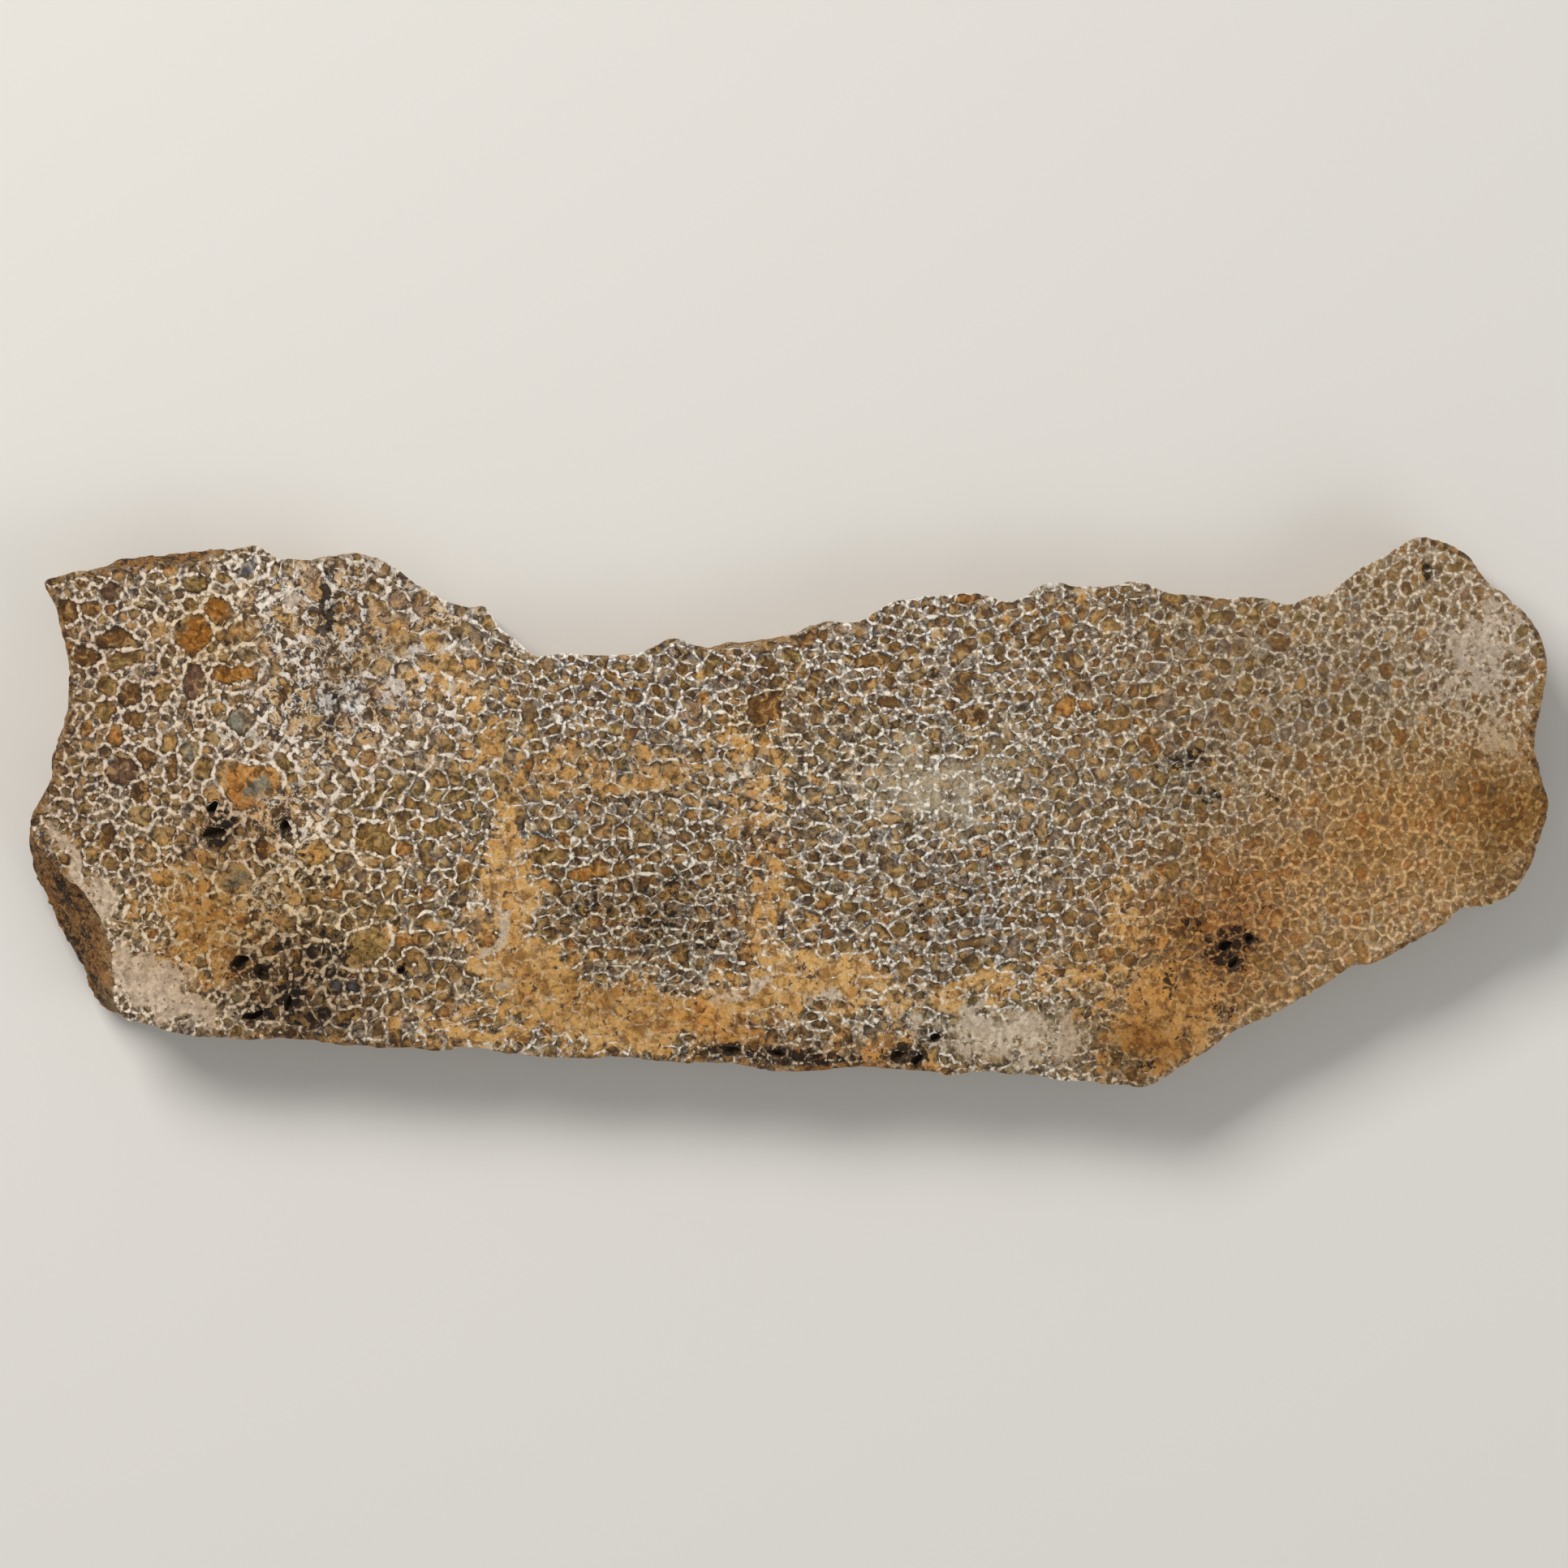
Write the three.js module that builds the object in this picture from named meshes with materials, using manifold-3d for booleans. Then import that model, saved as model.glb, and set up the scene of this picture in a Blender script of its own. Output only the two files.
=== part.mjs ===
// A slab of silicified dinosaur bone, lying on its sawn back with its polished face up.
//
// Millimetres, +Z up. The origin is on the sawn back, at the middle of the slab's box. +X runs along the
// slab towards its narrow end.
//
// The slab is one solid. Its broken edge is a stack of rings between the two saw cuts, each ring the
// outline drawn in by the lumps of the broken bone. Where the bone's natural outer skin survives, the
// polished face stops short of the outline and the skin slopes down and out from it. Small open cavities
// are cut into the polished face.

import * as THREE from "three";
import { ImprovedNoise } from "three/addons/math/ImprovedNoise.js";
import { mergeVertices } from "three/addons/utils/BufferGeometryUtils.js";
import Module from "manifold-3d";

// ---- driving dimensions -------------------------------------------------------------------------

const LENGTH = 200; // along X, between the ends of the outline
const THICKNESS = 12; // between the two saw cuts

const EDGE_STEP = 1.7; // spacing of the points round the edge
const RINGS = 8; // bands of faces between the polished face and the back

const SKIN_STEP = 0.1; // share of the thickness that drops straight down before the skin slopes out
const SKIN_FOOT = 0.68; // share of the thickness at which the skin reaches the outline
const SKIN_CURVE = 1.5; // 1 is a straight slope, more bellies it in below the polished face
const SKIN_UNDERCUT = 1.1; // how far the skin turns back in at the sawn back
const FULL_UNDERCUT_RIM = 3; // rim width from which the skin has its full undercut
const LEAST_UNDERCUT = 0.25; // share of the undercut that a plain broken edge has

const LUMP_HEIGHT = 0.8; // broken bone: how far its coarse lumps stand out
const LUMP_SIZE = 6;
const GRAIN_HEIGHT = 0.45; // broken bone: the finer knobs on the lumps
const GRAIN_SIZE = 2.1;
const LEDGE_DEPTH = 0.7; // broken bone: steps left where layers broke away
const LEDGE_LENGTH = 13;
const LEDGE_THICKNESS = 3.4;
const LEDGE_DROP = [0.42, 0.58]; // levels of the noise between which a ledge falls away
const CHIP_DEPTH = 0.45; // nicks along the sharp edge of the polished face
const CHIP_SIZE = 3.2;
const RAGGED = 0.22; // small unevenness of the outline itself
const RAGGED_SIZE = 2.6;
const FACING_REACH = 3; // the edge's outward direction is taken over this distance each way
const LEAST_RIM = 0.15;
const RING_WANDER = 0.07; // how far a ring rises and falls, as a share of the thickness
const STEP_WANDER = 0.02; // the same, for the ring at the foot of the skin's step

// Each use of the noise starts from a place of its own.
const SEED = { lumps: 3, cavities: 5, grain: 11, ledges: 23, outline: 31, chips: 57, rings: 77 };

// ---- the outline --------------------------------------------------------------------------------
// Each point is x, y and the width of the unpolished rim that shows there, seen from above. The list
// runs clockwise from the upper left corner, on a slab 200 long and centred on the origin.

const OUTLINE_LENGTH = 200;

const UPPER_EDGE = [
  [-97.6, 30.4, 0.8], [-94.7, 31.6, 0.8], [-90.5, 33.3, 2.0], [-84.7, 34.2, 2.1], [-82.0, 34.8, 2.1],
  [-77.6, 34.8, 2.8], [-73.5, 35.0, 1.2], [-71.7, 34.2, 0.2], [-69.3, 34.8, 0.2], [-66.6, 33.3, 0.2],
  [-64.8, 33.8, 0.3], [-62.6, 33.1, 0.3], [-58.6, 33.9, 0.2], [-55.2, 33.9, 0.3], [-52.0, 32.5, 0.2],
  [-48.1, 29.8, 0.2], [-43.5, 27.2, 0.3], [-38.7, 26.6, 0.3], [-38.3, 24.9, 0.3], [-34.7, 22.6, 0.2],
  [-33.3, 20.4, 0.2], [-31.5, 21.1, 0.4], [-26.8, 21.1, 0.6], [-19.4, 21.4, 0.6], [-15.2, 22.8, 0.4],
  [-11.2, 22.4, 0.9], [-7.5, 23.2, 1.7], [-1.7, 23.9, 1.4], [0.8, 23.9, 0.7], [3.5, 25.4, 1.3],
  [6.7, 25.3, 0.5], [8.4, 24.9, 0.2], [11.3, 26.3, 0.2], [14.5, 27.9, 0.2], [18.2, 28.7, 0.2],
  [22.0, 28.8, 0.2], [25.7, 28.4, 0.3], [27.4, 27.5, 0.2], [29.6, 27.8, 0.3], [32.5, 29.8, 0.5],
  [35.0, 30.3, 0.4], [36.2, 29.5, 0.2], [40.7, 29.7, 0.2], [45.2, 30.5, 0.5], [46.8, 30.1, 0.4],
  [48.4, 28.8, 0.2], [53.5, 28.2, 0.2], [56.9, 28.0, 0.2], [60.9, 28.2, 0.2], [64.9, 27.1, 0.2],
  [67.4, 28.1, 0.2], [69.8, 28.4, 0.2], [73.3, 31.3, 0.2], [78.4, 34.1, 0.2], [80.8, 35.8, 0.2],
  [83.9, 35.7, 0.2], [88.9, 33.1, 0.4],
];

const NARROW_END = [
  [91.3, 30.6, 0.8], [94.2, 29.6, 2.2], [96.3, 26.9, 1.3], [97.7, 23.5, 0.5], [98.6, 19.5, 0.3],
  [98.3, 15.3, 0.3], [97.3, 9.6, 0.5], [98.8, 6.5, 1.5], [100.0, 2.2, 1.8], [99.8, 0.4, 1.2],
  [98.2, -2.2, 0.3], [96.9, -6.9, 0.3], [94.9, -9.9, 0.2], [92.9, -11.5, 0.2],
];

const LOWER_EDGE = [
  [90.2, -12.7, 0.2], [86.9, -13.1, 0.2], [85.0, -15.2, 0.2], [81.6, -16.9, 0.2], [78.6, -18.5, 0.2],
  [75.5, -20.1, 0.2], [74.0, -19.7, 0.2], [70.7, -22.1, 0.2], [66.7, -24.3, 0.2], [62.2, -26.8, 0.2],
  [58.2, -28.4, 0.2], [53.1, -32.2, 0.2], [49.7, -33.9, 0.2], [46.5, -35.9, 0.2], [43.3, -35.7, 0.2],
  [36.0, -35.1, 0.2], [30.2, -34.4, 0.2], [24.1, -34.0, 0.2], [21.3, -34.6, 0.2], [17.3, -33.8, 0.2],
  [9.2, -33.4, 0.2], [3.1, -34.0, 0.2], [-3.4, -33.7, 0.2], [-9.8, -32.7, 0.2], [-13.8, -33.0, 0.2],
  [-22.3, -32.3, 0.2], [-34.1, -31.9, 0.2], [-41.5, -31.0, 0.2], [-46.3, -31.4, 0.2],
  [-50.0, -30.9, 0.2], [-56.5, -30.8, 0.2], [-63.4, -29.8, 0.2], [-71.9, -29.7, 0.2],
  [-78.0, -29.3, 0.2], [-82.0, -28.5, 0.3], [-86.4, -27.6, 0.7],
];

const SKIN_END = [
  [-88.5, -27.0, 2.2], [-91.4, -25.0, 4.8], [-92.7, -21.6, 5.2], [-94.8, -17.6, 6.7],
  [-96.5, -14.5, 6.4], [-98.4, -10.8, 5.2], [-99.5, -6.8, 3.2], [-100.0, -2.4, 1.3],
  [-99.0, -0.5, 0.8], [-97.4, 3.2, 1.0], [-96.9, 7.7, 1.9], [-95.8, 11.0, 1.6], [-94.9, 14.5, 1.3],
  [-94.8, 20.3, 1.1], [-95.9, 25.8, 0.7], [-97.4, 28.5, 0.8],
];

// ---- open cavities in the polished face ---------------------------------------------------------
// x, y, length, width, turn in degrees, depth

const CAVITIES = [
  [-74.9, 0.5, 2.0, 1.4, 40, 1.4],
  [-74.4, -2.7, 3.4, 1.5, 10, 1.3],
  [-65.2, -1.9, 1.7, 1.3, 80, 1.2],
  [-71.2, -19.6, 2.6, 1.9, 30, 1.8],
  [-68.4, -20.9, 2.3, 1.6, 130, 1.6],
  [-69.3, -26.4, 2.9, 1.2, 12, 1.4],
  [-64.9, -24.9, 2.4, 1.2, 85, 1.5],
  [-50.3, -20.6, 1.4, 1.0, 0, 1.0],
  [-7.6, -30.9, 2.9, 1.1, 170, 1.2],
  [-1.6, -31.2, 2.4, 1.0, 165, 1.1],
  [14.2, -31.6, 2.4, 1.7, 20, 1.5],
  [16.7, -32.3, 1.6, 1.3, 60, 1.2],
  [19.0, -29.1, 1.5, 1.0, 15, 1.0],
  [56.5, -17.3, 2.1, 1.5, 35, 1.5],
  [59.7, -16.4, 1.7, 1.2, 120, 1.2],
  [57.7, -19.7, 1.5, 1.2, 75, 1.2],
];

const CAVITY_ROUGHNESS = 0.28; // share of a cavity's radius
const CAVITY_KNOB = 0.8; // size of the knobs on its wall, as a share of the radius

// ---- material -----------------------------------------------------------------------------------

const polishedBone = new THREE.MeshStandardMaterial({ color: 0x9c8258, roughness: 0.35, metalness: 0 });

// ---- helpers ------------------------------------------------------------------------------------

const NOISE_CONTRAST = 0.8;
const MERGE_DISTANCE = 1e-5;

const noise = new ImprovedNoise();
const wasm = await Module();
wasm.setup();

// Smooth noise from 0 to 1, with features of about the given size.
function roughness(point, size, seed) {
  const value = noise.noise(point.x / size + seed, point.y / size - seed, point.z / size + seed / 2);
  return THREE.MathUtils.clamp(0.5 + NOISE_CONTRAST * value, 0, 1);
}

function solidFrom(geometry) {
  const bare = geometry.clone();
  bare.deleteAttribute("normal");
  bare.deleteAttribute("uv");
  const merged = mergeVertices(bare, MERGE_DISTANCE);
  const vertProperties = Float32Array.from(merged.attributes.position.array);
  const triVerts = Uint32Array.from(merged.index.array);
  return new wasm.Manifold(new wasm.Mesh({ numProp: 3, vertProperties, triVerts }));
}

function geometryFrom(solid) {
  const mesh = solid.getMesh();
  const geometry = new THREE.BufferGeometry();
  geometry.setAttribute("position", new THREE.BufferAttribute(mesh.vertProperties, 3));
  geometry.setIndex(new THREE.BufferAttribute(mesh.triVerts, 1));
  return geometry;
}

// ---- the edge of the slab -----------------------------------------------------------------------

// Evenly spaced points round the outline, each with its outward direction and its rim width. The rim
// width travels along the curve as a third coordinate.
function edgeStations() {
  const scale = LENGTH / OUTLINE_LENGTH;
  const corners = [...UPPER_EDGE, ...NARROW_END, ...LOWER_EDGE, ...SKIN_END];
  const curve = new THREE.CatmullRomCurve3(
    corners.map(([x, y, rim]) => new THREE.Vector3(x * scale, y * scale, rim)),
    true,
    "centripetal",
  );
  curve.arcLengthDivisions = 4000;
  const around = curve.getLength();
  const count = Math.round(around / EDGE_STEP);
  const reach = FACING_REACH / around;
  const stations = [];
  for (let i = 0; i < count; i += 1) {
    const share = i / count;
    const at = curve.getPointAt(share);
    const along = curve.getPointAt((share + reach) % 1).sub(curve.getPointAt((share - reach + 1) % 1));
    const outward = new THREE.Vector2(-along.y, along.x).normalize();
    const rim = Math.max(at.z, LEAST_RIM);
    const wobble = 2 * roughness(at.clone().setZ(0), RAGGED_SIZE, SEED.outline) - 1;
    const point = new THREE.Vector2(at.x, at.y).addScaledVector(outward, RAGGED * wobble);
    stations.push({ point, outward, rim });
  }
  return stations;
}

// How far a point of the broken edge has fallen back from the outline.
function brokenAway(here) {
  const lumps = LUMP_HEIGHT * roughness(here, LUMP_SIZE, SEED.lumps);
  const grain = GRAIN_HEIGHT * roughness(here, GRAIN_SIZE, SEED.grain);
  const layered = here.clone().multiply(new THREE.Vector3(1, 1, LEDGE_LENGTH / LEDGE_THICKNESS));
  const layer = roughness(layered, LEDGE_LENGTH, SEED.ledges);
  const ledge = LEDGE_DEPTH * THREE.MathUtils.smoothstep(layer, ...LEDGE_DROP);
  return lumps + grain + ledge;
}

// How far the edge lies inside the outline, at a share of the way down from the polished face.
function inset(station, down) {
  const { point, rim } = station;
  const slope = THREE.MathUtils.clamp((down - SKIN_STEP) / (SKIN_FOOT - SKIN_STEP), 0, 1);
  const skin = rim * (1 - slope) ** SKIN_CURVE;
  const foot = THREE.MathUtils.clamp((down - SKIN_FOOT) / (1 - SKIN_FOOT), 0, 1);
  const share = THREE.MathUtils.clamp(rim / FULL_UNDERCUT_RIM, LEAST_UNDERCUT, 1);
  const undercut = SKIN_UNDERCUT * share * foot ** 2;
  const here = new THREE.Vector3(point.x, point.y, down * THICKNESS);
  const below = Math.min(down / SKIN_STEP, 1);
  const chips = CHIP_DEPTH * Math.max(2 * roughness(here, CHIP_SIZE, SEED.chips) - 1, 0) * (1 - below);
  return skin + undercut + chips + brokenAway(here) * below;
}

// How far down a ring lies at a station, as a share of the thickness. The first and last rings are the
// edges of the two saw cuts, and the second is the foot of the skin's step.
function ringDepth(station, ring) {
  if (ring === 0 || ring === RINGS) {
    return ring / RINGS;
  }
  const here = new THREE.Vector3(station.point.x, station.point.y, ring * 1.5 * LUMP_SIZE);
  const level = ring === 1 ? SKIN_STEP : ring / RINGS;
  const wander = ring === 1 ? STEP_WANDER : RING_WANDER;
  return level + wander * (roughness(here, LUMP_SIZE, SEED.rings) - 0.5);
}

function slabGeometry() {
  const stations = edgeStations();
  const count = stations.length;
  const positions = [];
  for (let ring = 0; ring <= RINGS; ring += 1) {
    for (const station of stations) {
      const down = ringDepth(station, ring);
      const edge = station.point.clone().addScaledVector(station.outward, -inset(station, down));
      positions.push(edge.x, edge.y, THICKNESS * (1 - down));
    }
  }

  const indices = [];
  for (let ring = 0; ring < RINGS; ring += 1) {
    for (let i = 0; i < count; i += 1) {
      const next = (i + 1) % count;
      const upper = ring * count;
      const lower = upper + count;
      indices.push(upper + i, upper + next, lower + i);
      indices.push(upper + next, lower + next, lower + i);
    }
  }

  const loop = (ring) => stations.map((_, i) => {
    const start = 3 * (ring * count + i);
    return new THREE.Vector2(positions[start], positions[start + 1]);
  });
  const backStart = RINGS * count;
  for (const [a, b, c] of THREE.ShapeUtils.triangulateShape(loop(0), [])) {
    indices.push(a, b, c);
  }
  for (const [a, b, c] of THREE.ShapeUtils.triangulateShape(loop(RINGS), [])) {
    indices.push(backStart + a, backStart + c, backStart + b);
  }

  const geometry = new THREE.BufferGeometry();
  geometry.setAttribute("position", new THREE.Float32BufferAttribute(positions, 3));
  geometry.setIndex(indices);
  return geometry;
}

// ---- cavities -----------------------------------------------------------------------------------

function cavityGeometry([x, y, length, width, turn, depth]) {
  const geometry = new THREE.IcosahedronGeometry(1, 2);
  const position = geometry.attributes.position;
  const point = new THREE.Vector3();
  for (let i = 0; i < position.count; i += 1) {
    point.fromBufferAttribute(position, i);
    const place = point.clone().add(new THREE.Vector3(x, y, 0));
    point.multiplyScalar(1 + CAVITY_ROUGHNESS * (2 * roughness(place, CAVITY_KNOB, SEED.cavities) - 1));
    position.setXYZ(i, point.x, point.y, point.z);
  }
  geometry.scale(length / 2, width / 2, depth);
  geometry.rotateZ(THREE.MathUtils.degToRad(turn));
  geometry.translate(x, y, THICKNESS);
  return geometry;
}

// ---- the slab -----------------------------------------------------------------------------------

function boneSlab() {
  let solid = solidFrom(slabGeometry());
  for (const cavity of CAVITIES) {
    solid = solid.subtract(solidFrom(cavityGeometry(cavity)));
  }
  const geometry = geometryFrom(solid);
  geometry.computeBoundingBox();
  const middle = geometry.boundingBox.getCenter(new THREE.Vector3());
  const size = geometry.boundingBox.getSize(new THREE.Vector3());
  geometry.translate(-middle.x, -middle.y, 0);
  geometry.scale(LENGTH / size.x, LENGTH / size.x, 1); // the breaks took a little off both ends
  const slab = new THREE.Mesh(geometry, polishedBone);
  slab.name = "bone_slab";
  return slab;
}

const model = new THREE.Group();
model.add(boneSlab());

export default model;
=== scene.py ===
"""A slab of silicified dinosaur bone, lying on its sawn back with its polished face up.

The CAD solid gives the slab its outline, its thickness, its broken edge and its open cavities. This
script rebuilds that one solid with a finer surface and gives it its materials:

- the polished face: a network of pale bone walls round brown, olive and amber cells, crossed by ochre
  bands, cream compact bone and dark mineral clusters. The mesh's points lie on the network and hold the
  walls' height and the cells' colours, which noise in the material roughens. The broad areas and the
  larger cells are listed one by one.
- the broken edge and the natural outer skin: rough, knobbly, brown and tan.
- the sawn back: the same bone, dull, with the saw's marks.

Lengths in the tables are in millimetres, in the frame of the CAD model. The scene is in metres.
"""

import math

import bmesh
import bpy
import numpy as np
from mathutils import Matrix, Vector, kdtree, noise
from mathutils.geometry import delaunay_2d_cdt


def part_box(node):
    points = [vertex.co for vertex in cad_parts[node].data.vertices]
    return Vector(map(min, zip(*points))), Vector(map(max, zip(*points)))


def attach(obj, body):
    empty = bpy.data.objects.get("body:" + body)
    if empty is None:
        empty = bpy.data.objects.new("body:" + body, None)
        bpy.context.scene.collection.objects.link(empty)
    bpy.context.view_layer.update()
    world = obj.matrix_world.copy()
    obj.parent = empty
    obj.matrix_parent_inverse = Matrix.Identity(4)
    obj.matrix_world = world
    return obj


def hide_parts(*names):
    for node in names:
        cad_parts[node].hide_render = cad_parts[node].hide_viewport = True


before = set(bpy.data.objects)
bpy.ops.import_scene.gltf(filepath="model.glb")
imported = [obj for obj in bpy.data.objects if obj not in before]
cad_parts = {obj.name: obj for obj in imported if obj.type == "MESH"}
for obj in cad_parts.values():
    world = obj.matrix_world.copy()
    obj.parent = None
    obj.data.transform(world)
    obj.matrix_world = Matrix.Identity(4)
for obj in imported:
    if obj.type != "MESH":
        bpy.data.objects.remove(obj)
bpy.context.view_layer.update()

MM = 0.001

# ---- what the scene is made from -------------------------

NODE = "bone_slab"
PIECE = "fossil_bone_slab"

SAME_POINT = 0.001 * MM
FLAT = 0.01 * MM  # a face this close to a saw cut belongs to it
EDGE_CUTS = 2  # cuts across each CAD edge of the broken edge
CAVITY_CUTS = 1
CLOSEST = 0.09  # points of the polished face closer than this, in mm, are taken together
RIM_MARGIN = 0.14  # how clear of the face's rims its points stay, in mm
BACK_SPACING = 1.9 * MM  # between the points of the sawn back
DIVIDED = 1e-9  # points and lines closer than this are one, when the plane is divided in triangles
TRIANGLE_ROW = 0.866  # the height of a triangle with even sides
SMOOTHINGS = 3  # how often the broken edge is relaxed, and then its two rims
RIM_SMOOTHINGS = 2
NICKS = ((0.3, 0.9), (0.35, 0.7))  # how deep the upper and lower rim's nicks are in mm, and how close
RAGGED = 0.45  # how far the cavities' sides wander in mm, and how fast
RAGGED_PER_MM = 0.6
EDGE_WEAR = 0.07 * MM  # how far the polished face's rim is worn down,
WEAR_SPREAD = (0.6, 0.8, 0.8)  # and how unevenly: times this at least, how much more, how often per mm
EDGE_DEPTHS = (0.16, 0.22, 0.1, 0.9, 0.55)  # of the broken edge: evenly, by knobs, grain, cells, bark
KNOBS = (0.55, 0.9, 2.1, 4)  # how often per mm, then the fractal's roughness, step and count of steps
GRAIN_PER_MM = 2.3
BARK_STRETCH = (0.9, 0.9, 0.35)  # the bark's furrows stand upright
BARK_PER_MM = 1.4
OPEN_CELL_SIZE = 1.9  # the broken edge's open cells, in mm, and how far out of its middle each reaches
OPEN_CELL_REACH = 0.42
CLOSED_IN_SKIN = 0.7  # how far they are closed in the natural skin
FACE, EDGE, BACK = 0, 1, 2  # the order of the slab's materials


def srgb(red, green, blue):
    """A colour as a paint chart gives it, 0 to 255, as linear light."""
    channels = [value / 255 for value in (red, green, blue)]
    return tuple(c / 12.92 if c <= 0.04045 else ((c + 0.055) / 1.055) ** 2.4 for c in channels)


# Bone walls
CREAM = srgb(234, 216, 196)
COOL = srgb(230, 224, 212)
TAN_WALL = srgb(206, 184, 152)
PEACH_WALL = srgb(208, 166, 108)

# What fills the cells, and the painted shade that makes a cell dark or grey beside its wall
BROWN = srgb(124, 88, 44)
OLIVE = srgb(132, 108, 60)
UMBER = srgb(74, 50, 28)
TAN = srgb(176, 146, 104)
PALE_FILL = srgb(150, 140, 112)
AMBER = srgb(158, 104, 34)
ORANGE = srgb(186, 126, 60)
OCHRE = srgb(192, 148, 88)
PEACH = srgb(172, 118, 62)
PURPLE = srgb(116, 88, 70)
GREY = srgb(128, 126, 112)
BLUE_GREY = srgb(104, 108, 122)
BLACK = srgb(20, 13, 8)
SANDY = srgb(168, 130, 80)
RUST = srgb(164, 104, 40)
DUSK = srgb(130, 118, 106)
# SLATE is the grey that the painted shade beside a cell's wall turns to
SLATE = srgb(92, 88, 90)

# ---- zones of the polished face --------------------------
# Each blot is x, y, half length, half width, turn in degrees and strength.

OCHRE_ZONE = [
    (-36.5, -9, 2.8, 12.5, -4, 1),
    (-34, -21, 8, 5, -25, 1),
    (-22, -27, 15, 4.4, -6, 1),
    (-7, -25.5, 9, 3.8, 12, 0.85),
    (-44, 17, 4.6, 6, 30, 0.5),
    (-38.5, 9, 6, 5, -40, 0.5),
    (-30, 4.5, 8, 3.2, 0, 0.45),
    (-19, 4.5, 10, 2.8, 8, 0.45),
    (-56, 10, 3, 5, 20, 0.25),
    (-62, 22, 4, 5.5, -20, 0.25),
    (-52, 24.5, 4, 2.6, -30, 0.35),
    (-2, -12, 2.6, 11, -4, 0.5),
    (5, -21.5, 8, 3.4, -15, 0.95),
    (14, -25, 7, 3, -8, 0.45),
    (25, -23, 7, 2.4, 8, 0.75),
    (37, -20.5, 6, 2.8, 15, 0.5),
    (49, -27, 7, 6, 35, 1),
    (44, -14, 3.4, 7, 0, 0.35),
    (-77, -14, 6, 7.5, 20, 0.75),
    (-72.5, -19, 4, 3.2, 0, 0.6),
    (-80.5, -19.5, 3.6, 2.8, 30, 0.5),
    (-3, 3, 5, 6, -20, 0.35),
    (-6, 9, 5, 3, 0, 0.4),
    (13, -31, 7, 2, -3, 0.5),
    (-40, -29, 12, 2.6, -3, 0.45),
]

COMPACT_ZONE = [
    (-80.5, -24.5, 7.5, 4.2, -14, 1),
    (-85, -21, 3, 5.5, 20, 0.95),
    (-94, -6.5, 1.8, 6, 22, 0.9),
    (-90, -12.5, 2.2, 5, 32, 0.8),
    (30, -29.5, 12, 4, -4, 0.8),
    (19, -27, 4, 3, 0, 0.5),
    (90, 20.5, 8, 12, -18, 0.62),
    (94, 10, 3.6, 5, 0, 0.6),
    (-38.6, -15, 1.3, 4.6, -8, 0.7),
    (-37.2, -22.8, 1.6, 1.2, 0, 0.7),
    (-5.5, -24.2, 4.5, 1.8, 12, 0.9),
    (4.7, -24, 3, 1.2, 0, 0.75),
    (-51.5, 15.5, 3.6, 2.8, 20, 0.7),
    (-66, 28, 4.5, 2.6, 0, 0.55),
    (-50, 6, 5, 1.6, 6, 0.45),
]

PALE_ZONE = [
    (18.5, 3.5, 15, 6.5, -8, 0.8),
    (6, 0, 10, 5, -10, 0.4),
    (32, 4, 8, 5, -10, 0.4),
    (-50, 5, 10, 4, 10, 0.4),
    (47, 10, 12, 5, -15, 0.25),
    (32, -29, 12, 4.5, -4, 0.8),
    (-36, 24, 10, 5, -10, 0.25),
    (62, 20, 8, 6, 0, 0.4),
]

CHAOS_ZONE = [
    (-62, 25, 12, 9, 0, 1),
    (-60, 13, 12, 8, 0, 1),
    (-48, 16, 7, 6, 0, 0.8),
    (-65, -1, 8, 6, 0, 0.8),
    (-68, -12, 7, 8, 0, 0.6),
    (-46, 24, 6, 4, -35, 0.7),
]

DARK_ZONE = [
    (-70.2, -20, 3.6, 2.3, 25, 1),
    (-66, -17, 2.4, 2, 0, 0.8),
    (-64.6, -24, 3, 4, 0, 0.9),
    (-69, -26, 3.6, 2, 0, 0.85),
    (-60.5, -19, 6, 6, -30, 0.68),
    (-61, -27, 6, 3, -5, 0.72),
    (-74, -2, 3.2, 3, 20, 0.9),
    (-65.5, -1.9, 1.6, 1.6, 0, 0.9),
    (-63, -8.5, 6, 5, 0, 0.5),
    (52.5, 7.2, 3.8, 1.6, 18, 0.85),
    (55, 2.2, 1.8, 1.2, 0, 0.8),
    (64, 1.7, 1.6, 1, 0, 0.7),
    (84.2, 31.4, 1.5, 1.2, 0, 0.95),
    (40.1, 13, 0.8, 0.8, 0, 0.9),
    (57.8, -17.8, 4, 3.2, 40, 1),
    (53, -15, 2.4, 3, 0, 0.6),
    (50.4, -22.2, 1.4, 2.4, 0, 0.8),
    (57.2, -26, 1.6, 1.4, 0, 0.8),
    (47, -33, 2, 1.2, 0, 0.7),
    (52, -29.5, 1.6, 1, 35, 0.7),
    (63, -12, 3, 2, 30, 0.45),
    (15.2, -31.6, 3.4, 2, 15, 0.95),
    (19, -29.2, 1.6, 1.2, 0, 0.85),
    (2, -32.4, 8, 1.6, -4, 0.95),
    (-9, -31.5, 7, 1.3, -4, 0.85),
    (-14.6, -8.7, 2, 1.3, 10, 0.85),
    (-16, -14, 9, 6, 0, 0.56),
    (-10, -17, 5, 3, 0, 0.56),
    (-26, -12, 5, 3, 0, 0.52),
    (-60, 27, 0.9, 5, 4, 1.2),
    (-59.5, 13.8, 1, 3.4, -10, 1.15),
    (27, -6, 6, 2.4, 20, 0.42),
    (20, -13, 8, 5, 20, 0.45),
]

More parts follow.
